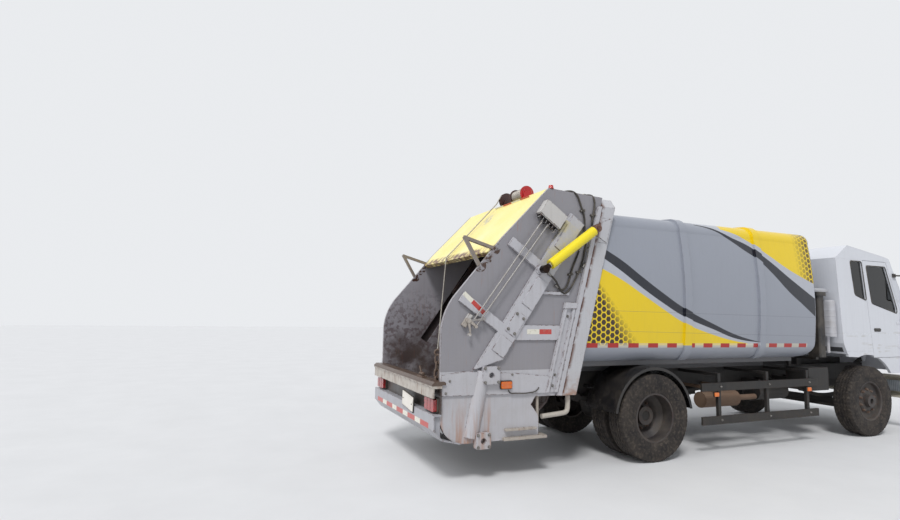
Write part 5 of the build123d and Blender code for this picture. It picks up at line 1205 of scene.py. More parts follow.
def tailgate_fasteners():
    """Bolts seated on the tailgate's side walls, and the caps of its hinge pins."""
    bolts = Shapes()
    for side, name in ((RIGHT, "tailgate_side_right"), (LEFT, "tailgate_side_left")):
        spots = [(on_slope(side, along, across, FAR_OUT), 0.024) for along, across in BEAM_PLATE]
        for back, up, wide, tall in GUIDE_PLATES:
            corner = (wide / 2 - PLATE_MARGIN, tall / 2 - PLATE_MARGIN)
            spots += [(on_side(side, AXLE_X - back + u * corner[0], up + v * corner[1], FAR_OUT), 0.022)
                      for u in (-1, 1) for v in (-1, 1)]
        spots += [(on_side(side, x, z, FAR_OUT), 0.018) for x, z in BAND_BOLTS]
        spots += [(on_side(side, frame_seam(up) - POST_BEHIND_SEAM, up, FAR_OUT), 0.022) for up in POST_BOLTS]
        for spot, flats in spots:
            bolts.bolt(face_on(name, spot, (0, -side, 0)), (0, side, 0), flats)
        for y, way in HINGE_CAPS:
            bolts.turned([(0, 0.034), (0.006, 0.034), (0.008, 0.031)],
                         on_side(side, *HINGE_PIN, y), (0, side * way, 0), 20)
    bolts.done("tailgate_bolts", zinc(), "tailgate")


FILM_THICK = 0.0006
FILM_GAP = 0.0002
# Each tape on a rib: name, its two ends, the way across it, its share of the width and its white share
RIB_TAPES = (
    ("level_rib_tape", (-3.116, 1.563), (-2.795, 1.563), (0, 0, 1), 1.0, 0.5),
    ("lower_rib_tape", (-3.901, 1.971), (-3.661, 1.763), (0.655, 0, 0.755), 0.9, 0.42),
)
PANEL_TAPE = (0.588, 0.98)
PEAK_TAPE = (-2.845, 0.17, -0.72)


def tailgate_tapes(width):
    """Reflective tape on two ribs of each wall, on the hood's peak and along the rear panel."""
    for side, name in SIDES:
        for label, start_at, end_at, up, share, white in RIB_TAPES:
            x, z = (start_at[0] + end_at[0]) / 2, (start_at[1] + end_at[1]) / 2
            rib = face_on(f"tailgate_side_{name}", on_side(side, x, z, FAR_OUT), (0, -side, 0))
            first, last = (on_side(side, *spot, abs(rib.y) + FILM_GAP) for spot in (start_at, end_at))
            tape_run(f"{label}_{name}", first, last, up, (0, side * FILM_THICK, 0), width * share,
                     ((False, white), (True, 1 - white)), "tailgate")
    height, half = PANEL_TAPE
    back = face_on("rear_panel", (FAR_BEHIND, 0.0, height), (1, 0, 0)).x - FILM_GAP
    tape_run("rear_panel_tape", (back, -half, height), (back, half, height), (0, 0, 1), (-FILM_THICK, 0, 0),
             width, [(k % 2 == 0, 1.0 if k % 2 == 0 else 0.7) for k in range(9)], "tailgate")
    x, left, right = PEAK_TAPE
    top = face_on("tailgate_hood", (x, 0.0, FAR_UP), (0, 0, -1)).z + 0.0004
    tape_run("hood_peak_tape", (x, left, top), (x, right, top), (-0.70, 0, 0.72), (-0.0005, 0, 0.0005),
             width * 0.7, [(k % 2 == 1, 1.0) for k in range(4)], "tailgate")


PLATE_MIDDLE = (-0.33, 0.745)
PLATE_TILT = 0.10
HOLDER_THICK = 0.012
PLATE_THICK = 0.004


def blank_plate():
    """Blank number plate on its holder, under the sill."""
    y, z = PLATE_MIDDLE
    middle = Vector((face_on("rear_panel", (FAR_BEHIND, y, 0.66), (1, 0, 0)).x, y, z))
    ways = Vector((0, 1, PLATE_TILT)), Vector((0, -PLATE_TILT, 1))
    face = middle - Vector((HOLDER_THICK + PLATE_THICK - 0.0005, 0, 0))
    holder, plate, screws = Shapes(), Shapes(), Shapes()
    holder.plate(round_corners(0.40, 0.18, 0.012), middle, *ways, (-HOLDER_THICK, 0, 0), 0.003)
    plate.plate(round_corners(0.38, 0.162, 0.014), middle - Vector((HOLDER_THICK, 0, 0)), *ways,
                (-PLATE_THICK, 0, 0), 0.0012)
    plate.rim(round_corners(0.356, 0.138, 0.010), face, *ways, (-0.0018, 0, 0), 0.006, 0.0006)
    for u in (-0.15, 0.15):
        screws.bolt(face + ways[0] * u, (-1, 0, 0), 0.011)
    wear = bpy.context.scene.truck_wear
    holder.done("plate_holder", black_rubber(), "tailgate")
    enamel = enamel_on_steel("pressed_plate_enamel", ink("#E2DDD4"), wear, dust=0.5, rust=0.4)
    plate.done("blank_plate", enamel, "tailgate")
    screws.done("plate_screws", zinc(), "tailgate")


# Profiles of screw heads: height and radius
LENS_SCREW = ((0, 0.006), (0.002, 0.0055), (0.003, 0.003))
MARKER_SCREW = ((0, 0.005), (0.0015, 0.0045), (0.0025, 0.0025))
REAR_LAMP = (0.935, 0.800)
SIDE_MARKER = (AXLE_X - 2.062, 0.992)


def lamp_bezels():
    """Rubber bezels and screws of the rear lamps and the side markers, and the bars on the lenses."""
    rims, screws = Shapes(), Shapes()
    for side in (RIGHT, LEFT):
        y, z = side * REAR_LAMP[0], REAR_LAMP[1]
        panel = face_on("rear_panel", (FAR_BEHIND, side * 0.60, z), (1, 0, 0))
        rims.rim(round_corners(0.276, 0.132, 0.012), (panel.x, y, z), *END_ON, (-0.022, 0, 0), 0.012, 0.004)
        lens = face_on("tail_lamps", (FAR_BEHIND, y, z), (1, 0, 0))
        for shift in (0.045, -0.045):
            rims.plate(round_corners(0.004, 0.12, 0.0015, 2), (lens.x, y + shift, z), *END_ON,
                       (-0.0016, 0, 0), 0.0006)
        for shift in (-0.122, 0.122):
            screws.turned(LENS_SCREW, (lens.x, y + shift, z), (-1, 0, 0), 12)
        x, z = SIDE_MARKER
        marker = face_on("tail_lamps", on_side(side, x, z, FAR_OUT), (0, -side, 0))
        rims.rim(round_corners(0.134, 0.078, 0.010), on_side(side, x, z, BAND_FACE + 0.001), *SIDE_ON,
                 (0, side * 0.014, 0), 0.008, 0.003)
        for shift in (-0.055, 0.055):
            screws.turned(MARKER_SCREW, (x + shift, marker.y, z), (0, side, 0), 12)
    rims.done("lamp_bezels", black_rubber(), "tailgate")
    screws.done("lamp_screws", zinc(), "tailgate")


DRUM = Vector((AXLE_X - 1.370, 0.0, 3.32))
DRUM_RADIUS = 0.066
DRUM_SPAN = (-0.412, -0.098)
TURN_STEPS = 20
TURN_PITCH = 1.06
ROPE_STEP = 0.009
ROPE_EYE = (-4.118, -0.95, 1.335)
CHAIN_FOOT = (-4.135, -0.96, 1.0)
ROPE_CORNERS = (
    (DRUM.x - 0.083, 0.15, DRUM.z + 0.070), (-2.845, 0.152, 3.264), (-3.425, 0.19, 2.632),
    (-3.562, 0.20, 2.487), (ROPE_EYE[0], ROPE_EYE[1], ROPE_EYE[2] + 0.025),
)


def winch_rope(rope):
    """Rope wound on the drum, and the length that is hooked tight across the mouth."""
    turns = int((DRUM_SPAN[1] - DRUM_SPAN[0] - 2 * rope) / (TURN_PITCH * rope))
    reach = DRUM_RADIUS + 0.5 * rope
    path = []
    for step in range(turns * TURN_STEPS + 1):
        a = 2 * math.pi * step / TURN_STEPS
        y = DRUM_SPAN[0] + rope + TURN_PITCH * rope * step / TURN_STEPS
        path.append(Vector((DRUM.x + reach * math.cos(a), y, DRUM.z + reach * math.sin(a))))
    coil = Shapes()
    coil.sweep(path, 0.5 * rope, 8)
    coil.done("drum_rope_turns", rope_steel(), "tailgate", 60)
    corners = [Vector(spot) for spot in ROPE_CORNERS]
    path = []
    for first, last in zip(corners, corners[1:]):
        steps = max(2, int((last - first).length / ROPE_STEP))
        path += [first.lerp(last, i / steps) for i in range(steps)]
    path.append(corners[-1])
    tight = Shapes()
    tight.sweep(path, 0.5 * rope, 18, lobes=6)
    tight.done("tight_wire_rope", rope_steel(), "tailgate", 60)


def rope_steel():
    """Galvanised wire rope, greasy and dulled, whose strands show as the rope's shape."""
    return kept("galvanised_wire_rope", lambda: drawn_steel("galvanised_wire_rope", ink("#A9A49C"), 0.55))


LINK_PITCH = 3.1
LINK_BEND = 1.15


def chain(name, top, foot, bar, body):
    """Short-link chain hung between two places, each link turned a quarter from the next."""
    run = foot - top
    count = int(run.length / (LINK_PITCH * bar))
    pitch = run.length / count
    way = run.normalized()
    side = way.orthogonal().normalized()
    links = Shapes()
    for k in range(count):
        middle = top + way * (pitch * (k + 0.5))
        out = side if k % 2 else way.cross(side)
        half = pitch / 2 + bar / 2
        bend = LINK_BEND * bar
        path = []
        for end in (1, -1):
            for step in range(7):
                a = math.pi * step / 6
                path.append(middle + way * (end * (half - bend + bend * math.sin(a)))
                            + out * (end * bend * math.cos(a)))
        rings = []
        flat = way.cross(out)
        for i, spot in enumerate(path):
            ahead = (path[(i + 1) % len(path)] - path[i - 1]).normalized()
            away = ahead.cross(flat)
            rings.append([spot + away * (bar / 2 * math.cos(b)) + flat * (bar / 2 * math.sin(b))
                          for b in (2 * math.pi * j / 8 for j in range(8))])
        links.skin(rings, lids=False)
    links.done(name, rusty_bar(), body, 60)


def mouth_catch():
    """Chain that holds the rope's hook, its eye on the wall, and the sill's hand latch."""
    eye, latch = Shapes(), Shapes()
    top, foot = Vector(ROPE_EYE), Vector(CHAIN_FOOT)
    eye.ring_at(top, (0.35, 1, 0.1), 0.030, 0.011)
    eye.bar(top + Vector((0.01, -0.02, 0.02)), top + Vector((0.02, -0.096, 0.15)), 0.016)
    eye.ring_at(foot + Vector((0, 0, -0.028)), (1, 0.1, 0), 0.022, 0.006)
    chain("mouth_chain", top + Vector((0, 0, -0.03)), foot, 0.020, "tailgate")
    chain("spare_chain", top + Vector((0.03, -0.03, 0.02)), foot + Vector((0.05, -0.035, 0.06)), 0.015,
          "tailgate")
    eye.bar(foot + Vector((0, 0, -0.01)), foot + Vector((0.015, -0.075, 0.045)), 0.012)
    sill = face_on("loading_sill", (-4.17, -0.62, 2.0), (0, 0, -1))
    latch.plate(round_corners(0.15, 0.07, 0.008), sill, (0, 1, 0), (1, 0, 0), (0, 0, 0.014), 0.003)
    latch.bar(sill + Vector((0, -0.055, 0.034)), sill + Vector((0, 0.055, 0.034)), 0.018)
    latch.bar(sill + Vector((0, 0, 0.03)), sill + Vector((-0.016, 0.03, 0.115)), 0.011)
    eye.done("chain_eyes", rusty_bar(), "tailgate", 60)
    latch.done("sill_latch", rusty_bar(), "tailgate")


STEP_Y = -1.055
STEP_WIDE = 0.17
# Each tier: bottom, top, rear end and front end
STEP_TIERS = ((0.405, 0.435, -3.41, -2.87), (0.505, 0.525, -3.39, -3.0))
STUD_PITCH = 0.035
STUD_ROWS = (-0.045, 0.0, 0.045)
# Each pair of uprights: bottom, top, radius and places
STEP_UPRIGHTS = ((0.42, 0.56, 0.014, (-3.26, -3.02)), (0.505, 0.905, 0.016, (-3.33, -2.95)))
BRACE_ROUTE = (
    (-2.545, -1.06, 0.84), (-2.545, -1.06, 0.72), (-2.56, -1.06, 0.65), (-2.66, -1.06, 0.64),
    (-2.80, -1.06, 0.63), (-2.90, -1.06, 0.622),
)
BRACE_THICK = 0.056


def foot_step():
    """Two-tier step under the right wall, with studs on its treads, and the brace beside it."""
    step = Shapes()
    for low, high, back, front in STEP_TIERS:
        middle = Vector(((back + front) / 2, STEP_Y, low))
        step.plate(round_corners(front - back, STEP_WIDE, 0.012), middle, *LEVEL, (0, 0, high - low), 0.003)
        for k in range(int((front - back - 0.04) / STUD_PITCH)):
            for shift in STUD_ROWS:
                spot = Vector((back + 0.03 + STUD_PITCH * k, STEP_Y + shift, high))
                step.turned([(0, 0.010), (0.0035, 0.008), (0.004, 0.005)], spot, (0, 0, 1), 10)
    for low, high, radius, stations in STEP_UPRIGHTS:
        for x in stations:
            step.bar((x, STEP_Y, low), (x, STEP_Y, high), radius)
    wear = bpy.context.scene.truck_wear
    pipe("side_brace", [Vector(spot) for spot in BRACE_ROUTE], BRACE_THICK,
         enamel_on_steel("worn_brace_enamel", ink("#B5AEA4"), wear, dust=0.8, rust=2.0), "tailgate")
    step.done("side_step", enamel_on_steel("worn_step_enamel", ink("#A79F96"), wear, dust=1.0, rust=1.8),
              "tailgate")


class TRUCK_OT_tailgate_fittings(bpy.types.Operator):
    """Hoses, bolts, tapes, plate, lamp bezels, rope, chains and step of the tailgate"""

    bl_idname = "truck.tailgate_fittings"
    bl_label = "Tailgate fittings"

    def execute(self, context):
        detail = context.scene.truck_detail
        tailgate_hoses(detail.hose)
        tailgate_fasteners()
        tailgate_tapes(detail.tape)
        blank_plate()
        lamp_bezels()
        winch_rope(detail.rope)
        mouth_catch()
        foot_step()
        return {"FINISHED"}


# Seats


def superform(share, power):
    """Falls from one in the middle to nothing at the edge, fuller for a higher power."""
    return max(0.0, 1.0 - abs(share) ** power)


def pulled(u, v):
    """A place on a cushion's square, pulled in between its corners."""
    return (u * (1 - 0.10 * v * v * u * u) * (0.965 + 0.035 * abs(v) ** 3),
            v * (1 - 0.10 * u * u * v * v) * (0.965 + 0.035 * abs(u) ** 3))


SEAM_SHARE = 0.4
CHANNEL_DEEP = 0.012
CHANNEL_WIDE = 0.045
SIDE_SEAM = (0.62, 0.010, 0.05)
PIPING_RADIUS = 0.006
CUSHION_STEPS = 40


def cushion(name, middle, across, along, up, size, channels):
    """Stuffed form with a crowned face, sides pulled in between its corners, and sewn channels."""
    across, along, up = Vector(across), Vector(along), Vector(up)
    width, depth, thick = size
    seam = SEAM_SHARE * thick
    steps = CUSHION_STEPS

    def spot_at(u, v, height):
        """Place over the cushion's square at a height."""
        u, v = pulled(u, v)
        return middle + across * (u * width / 2) + along * (v * depth / 2) + up * height

    points, faces = [], []
    for face in (1, -1):
        for i in range(steps + 1):
            for j in range(steps + 1):
                u, v = 2 * i / steps - 1, 2 * j / steps - 1
                swell = (superform(u, 5) * superform(v, 5)) ** 0.42
                lift = (thick - seam) * swell if face > 0 else -seam * swell ** 0.6
                if face > 0:
                    station, deep, wide = SIDE_SEAM
                    lift -= sum(CHANNEL_DEEP * math.exp(-((v - place) / CHANNEL_WIDE) ** 2)
                                for place in channels) * swell
                    lift -= deep * math.exp(-((abs(u) - station) / wide) ** 2) * swell
                points.append(spot_at(u, v, seam + lift))
    count = (steps + 1) ** 2
    for face in (0, 1):
        for i in range(steps):
            for j in range(steps):
                first = face * count + i * (steps + 1) + j
                faces.append((first, first + 1, first + steps + 2, first + steps + 1))
    piece = from_faces(name, points, faces, kept("woven_seat_cloth", woven_seat_cloth), "cab", 60)
    shape = bmesh.new()
    shape.from_mesh(piece.data)
    bmesh.ops.remove_doubles(shape, verts=shape.verts, dist=0.0002)
    bmesh.ops.recalc_face_normals(shape, faces=shape.faces)
    shape.to_mesh(piece.data)
    shape.free()
    edge = []
    for a in (2 * math.pi * k / 120 for k in range(120)):
        stretch = 1 / max(abs(math.cos(a)), abs(math.sin(a)))
        edge.append(spot_at(math.cos(a) * stretch, math.sin(a) * stretch, seam))
    rings = []
    for i, spot in enumerate(edge):
        out = (edge[(i + 1) % len(edge)] - edge[i - 1]).normalized().cross(up)
        rings.append([spot + out * (PIPING_RADIUS * math.cos(b)) + up * (PIPING_RADIUS * math.sin(b))
                      for b in (2 * math.pi * k / 8 for k in range(8))])
    bead = Shapes()
    bead.skin(rings, lids=False)
    bead.done(f"{name}_piping", black_rubber(), "cab", 60)
    return piece


SEAT_Y = 0.52
BACK_LEAN = Vector((-0.148, 0, 0.989))
CUSHION = ((-0.09, 1.575), (0.48, 0.46, 0.13), (-0.45, 0.0, 0.45))
BACKREST = ((-0.385, 2.0), (0.46, 0.70, 0.10), (-0.55, -0.15, 0.25, 0.62))
PEDESTAL_X = -0.16
# Each tier of the pedestal: depth, width, bottom, height and bevel
PEDESTAL_TIERS = ((0.42, 0.40, 1.282, 0.06, 0.008), (0.32, 0.30, 1.342, 0.20, 0.01))
BELLOWS = (4, 1.36, 0.045)
RUNNER = (0.2, -0.36, 0.08, 1.556)


class TRUCK_OT_seats(bpy.types.Operator):
    """Seat cushions, backrests and their pedestals"""

    bl_idname = "truck.seats"
    bl_label = "Seats"

    def execute(self, context):
        front = (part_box("front_tyre_left")[0].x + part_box("front_tyre_left")[1].x) / 2
        for side, name in SIDES:
            y = side * SEAT_Y
            (x, z), size, channels = CUSHION
            cushion(f"seat_cushion_{name}", Vector((front + x, y, z)), (0, 1, 0), (1, 0, 0.05), (-0.05, 0, 1),
                    size, channels)
            (x, z), size, channels = BACKREST
            back = cushion(f"seat_back_{name}", Vector((front + x, y, z)), (0, 1, 0), BACK_LEAN,
                           (BACK_LEAN.z, 0, -BACK_LEAN.x), size, channels)
            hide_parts("seats")
            base = Shapes()
            x = front + PEDESTAL_X
            for deep, wide, low, rise, bevel in PEDESTAL_TIERS:
                base.plate(round_corners(deep, wide, 0.03), (x, y, low), *LEVEL, (0, 0, rise), bevel)
            count, low, pitch = BELLOWS
            for k in range(count):
                base.rim(round_corners(0.322, 0.302, 0.03), (x, y, low + pitch * k), *LEVEL, (0, 0, 0.022),
                         0.012, 0.006)
            half, first, last, z = RUNNER
            for edge in (-half, half):
                base.bar((front + first, y + edge, z), (front + last, y + edge, z), 0.012)
            base.done(f"seat_pedestal_{name}", black_rubber(), "cab")
        return {"FINISHED"}


# Cab trim

CAB_INSIDE_HALF = 1.066
CAB_INSIDE_UP = (1.27, 2.74)
CAB_INSIDE_ALONG = (2.43, 4.03)
SCREEN_LEAN = 0.509
SCREEN_FOOT = (4.03, 0.967)
SCRAPE_UP = (1.15, 1.62)


def cab_colours(paint):
    """Builder of the cab's colours: white outside; dark grey inside, partly as trim panels and headliner and
    partly as painted shade of the cab's interior.
    """

    def colours(tree, place):
        along = axis_of(tree, place, "X")
        up = axis_of(tree, place, "Z")
        half = add(tree, "ShaderNodeMath", {0: axis_of(tree, place, "Y")}, operation="ABSOLUTE")
        inside = both(tree, less_than(tree, half, CAB_INSIDE_HALF), between(tree, up, *CAB_INSIDE_UP))
        lean = add(tree, "ShaderNodeMath", {
            0: up, 1: SCREEN_LEAN, 2: -SCREEN_FOOT[0] - SCREEN_FOOT[1]}, operation="MULTIPLY_ADD")
        lean = add(tree, "ShaderNodeMath", {0: along, 1: lean}, operation="ADD")
        inside = both(tree, inside, less_than(tree, lean, 0.0))
        inside = both(tree, inside, between(tree, along, *CAB_INSIDE_ALONG))
        scrape = both(tree, between(tree, up, *SCRAPE_UP), patches(tree, place, 0.3, 0.5, 0.6))
        scrape = both(tree, streaks(tree, place, 0.9, 0.05, 0.56, 0.68), scrape)
        # The inside's dark grey #3D3E41 is partly trim and partly painted shade, so that the cab looks dark
        # through its glass.
        return layered(tree, paint.cab[:], [
            (thinned(tree, scrape, 0.6), ink("#A59F92")), (inside, ink("#3D3E41"))])

    return colours


DOOR_WINDOW = ((3.151, 2.027), (3.78, 1.88), (3.778, 1.95), (3.535, 2.602), (3.056, 2.602))
QUARTER_WINDOW = ((2.665, 2.66), (2.742, 2.15), (3.005, 2.07), (2.93, 2.66))


def softened(outline, radius, steps=4):
    """Outline with each corner rounded by an arc-like curve."""
    spots = [Vector(spot) for spot in outline]
    rounded = []
    for i, spot in enumerate(spots):
        before, after = spots[i - 1] - spot, spots[(i + 1) % len(spots)] - spot
        reach = min(radius, 0.45 * before.length, 0.45 * after.length)
        first, last = spot + before.normalized() * reach, spot + after.normalized() * reach
        for k in range(steps + 1):
            t = k / steps
            rounded.append(first * (1 - t) ** 2 + spot * (2 * t * (1 - t)) + last * t * t)
    return rounded


def front_face(y, z):
    """Place on the cab's front and the ways up and out of it there."""
    low = face_on("cab_front", (FAR_AHEAD, y, z - 0.03), (-1, 0, 0))
    high = face_on("cab_front", (FAR_AHEAD, y, z + 0.03), (-1, 0, 0))
    up = (high - low).normalized()
    return (low + high) / 2, up, Vector((0, 1, 0)).cross(up).normalized()


def window_seals():
    """Rubber seals round the side windows, riding on the cab or the doors."""
    for side, name in SIDES:
        door = f"door_{name}"
        for outline, node, body, label in (
            (DOOR_WINDOW, door, door, "door"), (QUARTER_WINDOW, "cab_back", "cab", "quarter"),
        ):
            outer = inset(outline, -0.02)
            spot = max((face_on(node, (u, side * FAR_OUT, v), (0, -side, 0)) for u, v in outer[:2]),
                       key=lambda place: abs(place.y))
            seal = Shapes()
            seal.rim(softened(outline, 0.03), Vector((0, spot.y, 0)), *SIDE_ON, (0, side * 0.006, 0), 0.016,
                     0.003)
            seal.done(f"{label}_window_seal_{name}", black_rubber(), body)


SCREEN_LINE = ((4.09, 0.0, 1.90), (3.66, 0.0, 2.745))
SCREEN_HALF = (1.02, 0.96)
SCREEN_RISE = (0.067, 0.819)
REAR_WINDOW = (1.2, 0.42, 2.3)


def screen_seals():
    """Rubber seals round the windscreen and the rear window."""
    low, high = (Vector(spot) for spot in SCREEN_LINE)
    up = (high - low).normalized()
    across = Vector((0, 1, 0))
    wide, narrow = SCREEN_HALF
    foot, top = SCREEN_RISE
    outline = ((-wide, foot), (wide, foot), (narrow, top), (-narrow, top))
    seal = Shapes()
    seal.rim(softened(outline, 0.06), low, across, up, across.cross(up).normalized() * 0.007, 0.024, 0.003)
    wide, tall, height = REAR_WINDOW
    low = face_on("cab_back", (1.0, 0.0, height - 0.3), (1, 0, 0))
    high = face_on("cab_back", (1.0, 0.0, height + 0.3), (1, 0, 0))
    up = (high - low).normalized()
    middle = low + up * (0.3 / up.z)
    seal.rim(round_corners(wide, tall, 0.06), middle, across, up, up.cross(across) * 0.007, 0.022, 0.003)
    seal.done("screen_seals", black_rubber(), "cab")


GRILLE_UP = 1.32
GRILLE_BARS = (5, -0.135, 0.0675)
TURN_LAMP_Y = 0.93
WIPER_PIVOT = (0.42, 1.82)
WIPER_TIP = (3.93, -0.40, 2.10)


def cab_front_trim():
    """Grille, turn lamps and wipers on the cab's front."""
    black = bpy.data.materials["black_moulded_plastic"]
    across = (0, 1, 0)
    spot, up, out = front_face(0.0, GRILLE_UP)
    grille, bars = Shapes(), Shapes()
    grille.plate(round_corners(1.36, 0.40, 0.05), spot, across, up, out * 0.010, 0.003)
    count, lowest, pitch = GRILLE_BARS
    for k in range(count):
        level = spot + up * (lowest + pitch * k) + out * 0.010
        bars.plate(round_corners(1.26, 0.026, 0.008), level, across, up, out * 0.014, 0.006)
    bars.rim(round_corners(1.30, 0.345, 0.035), spot + out * 0.010, across, up, out * 0.016, 0.022, 0.007)
    grille.done("grille_backing", black, "cab")
    bars.done("grille_bars", moulded_plastic("grey_grille_plastic", ink("#5B5D61"), 0.4, 0.25), "cab")
    lamps, wipers = Shapes(), Shapes()
    for side in (RIGHT, LEFT):
        spot, up, out = front_face(side * TURN_LAMP_Y, GRILLE_UP)
        lamps.plate(round_corners(0.16, 0.10, 0.02), spot, across, up, out * 0.016, 0.005)
        y, z = side * WIPER_PIVOT[0], WIPER_PIVOT[1]
        spot, up, out = front_face(y, z)
        wipers.turned([(0, 0.024), (0.012, 0.024), (0.03, 0.012), (0.034, 0.008)], spot, out, 20)
        arm = spot + out * 0.03
        tip = Vector(WIPER_TIP) + Vector((0, y, 0)) + out * 0.05
        wipers.bar(arm, arm.lerp(tip, 0.55), 0.007)
        wipers.bar(arm.lerp(tip, 0.52), tip, 0.005)
    lamps.done("turn_lamps", acrylic_lens("amber_acrylic_lens", ink("#C9640F")), "cab")
    wipers.done("screen_wipers", black, "cab")


MIRROR_MIDDLE = (1.24, 2.27)
HANDLE_MIDDLE = (3.246, 1.605)


def mirror_faces():
    """Silvered glass with a moulded rim on the back of each mirror head."""
    glass, rims = Shapes(), Shapes()
    for side in (RIGHT, LEFT):
        y, z = side * MIRROR_MIDDLE[0], MIRROR_MIDDLE[1]
        spot = face_on("mirrors", (3.0, y, z), (1, 0, 0))
        glass.plate(round_corners(0.15, 0.34, 0.025), spot, *END_ON, (-0.0015, 0, 0), 0.0006)
        rims.rim(round_corners(0.152, 0.342, 0.025), spot, *END_ON, (-0.004, 0, 0), 0.012, 0.0015)
    glass.done("mirror_glass", silvered_glass(), "cab")
    rims.done("mirror_rims", bpy.data.materials["black_moulded_plastic"], "cab")


def door_handles():
    """Grip plates and pull handles on both doors."""
    for side, name in SIDES:
        spot = face_on(f"door_{name}", on_side(side, *HANDLE_MIDDLE, FAR_OUT), (0, -side, 0))
        grip = Shapes()
        grip.plate(round_corners(0.17, 0.055, 0.02), spot, *SIDE_ON, (0, side * 0.004, 0), 0.0015)
        half_bend = [(0.07, 0.002), (0.064, 0.014), (0.04, 0.017)]
        bend = [(-u, out) for u, out in half_bend] + half_bend[::-1]
        grip.sweep([spot + Vector((u, side * out, 0.006)) for u, out in bend], 0.006, 12)
        grip.done(f"door_handle_{name}", bpy.data.materials["black_moulded_plastic"], f"door_{name}")


HEAD_FRONT_X = 2.30
HEAD_WIDE = 0.25
CLEANER_FRONT_X = 2.335
CLEANER_GAP = 0.008
CLEANER_FOOT = (-0.96, 1.50)
CLEANER_HIGH = 0.55
CLEANER_RIBS = (6, 0.05, 0.085)


def snorkel():
    """Intake head on top of the riser, and the ribbed air cleaner between the riser and the cab."""
    low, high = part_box("air_intake")
    reach = HEAD_FRONT_X - low.x
    spot = Vector((low.x + reach / 2, low.y + HEAD_WIDE / 2, high.z + 0.0005))
    head = Shapes()
    head.plate(round_corners(reach, HEAD_WIDE, 0.09), spot, *LEVEL, (0, 0, 0.03), 0.004)
    head.plate(round_corners(reach - 0.01, HEAD_WIDE - 0.01, 0.085), spot + Vector((0, 0, 0.029)), *LEVEL,
               (0, 0, 0.028), 0.027)
    head.done("intake_head", moulded_plastic("grey_intake_plastic", ink("#A9ABB1"), 0.4, 0.3), "chassis")
    room = CLEANER_FRONT_X - high.x - CLEANER_GAP
    spot = Vector((high.x + CLEANER_GAP + room / 2, *CLEANER_FOOT))
    cleaner = Shapes()
    cleaner.plate(round_corners(room, 0.24, min(0.05, room * 0.4)), spot, *LEVEL, (0, 0, CLEANER_HIGH), 0.02)
    count, lowest, pitch = CLEANER_RIBS
    rib = round_corners(room - 0.014, 0.226, min(0.045, room * 0.36))
    for k in range(count):
        level = spot + Vector((0, 0, lowest + pitch * k))
        cleaner.rim(rib, level, *LEVEL, (0, 0, 0.018), 0.009, 0.005)
    cleaner.bar(spot + Vector((0, 0, -0.25)), spot + Vector((0, 0, 0.01)), 0.024)
    cleaner.done("air_cleaner", moulded_plastic("white_cleaner_plastic", ink("#B9BAC0"), 0.5, 0.3), "chassis")


class TRUCK_OT_cab_trim(bpy.types.Operator):
    """Window seals, grille, lamps, wipers, mirror glass and handles"""

    bl_idname = "truck.cab_trim"
    bl_label = "Cab trim"

    def execute(self, context):
        window_seals()
        screen_seals()
        cab_front_trim()
        mirror_faces()
        door_handles()
        snorkel()
        return {"FINISHED"}


# Chassis trim

NUTS = 10
NUT_CIRCLE = 0.1675


def wheel_nuts(flats):
    """Ten nuts on each wheel's disc, with their studs."""
    for side, name in SIDES:
        for stem, body in (("front_rim", "front_wheel"), ("rear_rims", "rear_wheels")):
            node = f"{stem}_{name}"
            low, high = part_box(node)
            hub = (low + high) / 2
            nuts = Shapes()
            for k in range(NUTS):
                a = 2 * math.pi * (k + 0.5) / NUTS
                x, z = hub.x + NUT_CIRCLE * math.cos(a), hub.z + NUT_CIRCLE * math.sin(a)
                spot = face_on(node, on_side(side, x, z, FAR_OUT), (0, -side, 0))
                nuts.bolt(spot, (0, side, 0), flats)
                nuts.turned([(0, 0.011), (0.008, 0.011), (0.011, 0.008)],
                            spot + Vector((0, side * 0.72 * flats, 0)), (0, side, 0), 12)
            nuts.done(f"{node}_nuts", rusty_bar(), f"{body}_{name}")


GUARD_LAMPS = ((-0.263, 0.757), (1.558, 0.757))
GUARD_FACE = 1.10
GUARD_BOLTS = ((-0.183, 0.73, 1.56), (0.43, 0.855))


def guard_lamps():
    """Amber lamps and bolts on the side guards."""
    lens, backs, bolts = Shapes(), Shapes(), Shapes()
    for side in (RIGHT, LEFT):
        for x, z in GUARD_LAMPS:
            spot = on_side(side, x, z, GUARD_FACE)
            backs.plate(round_corners(0.085, 0.062, 0.008), spot, *SIDE_ON, (0, side * 0.014, 0), 0.002)
            backs.plate(round_corners(0.024, 0.07, 0.004), spot + Vector((0, 0, 0.045)), *SIDE_ON,
                        (0, side * 0.006, 0), 0.002)
            lens.plate(round_corners(0.075, 0.052, 0.008), spot + Vector((0, side * 0.014, 0)), *SIDE_ON,
                       (0, side * 0.012, 0), 0.004)
        for x in GUARD_BOLTS[0]:
            for z in GUARD_BOLTS[1]:
                spot = face_on("side_guards", on_side(side, x, z, FAR_OUT), (0, -side, 0))
                bolts.bolt(spot, (0, side, 0), 0.019)
    lens.done("guard_lamp_lenses", acrylic_lens("amber_marker_lens", ink("#E2700A")), "chassis")
    backs.done("guard_lamp_backs", black_rubber(), "chassis")
    bolts.done("side_guard_bolts", zinc(), "chassis")


class TRUCK_OT_chassis_trim(bpy.types.Operator):
    """Wheel nuts, marker lamps and bolts of the chassis"""

    bl_idname = "truck.chassis_trim"
    bl_label = "Chassis trim"

    def execute(self, context):
        wheel_nuts(context.scene.truck_detail.nut)
        guard_lamps()
        return {"FINISHED"}


# Groups of finishes


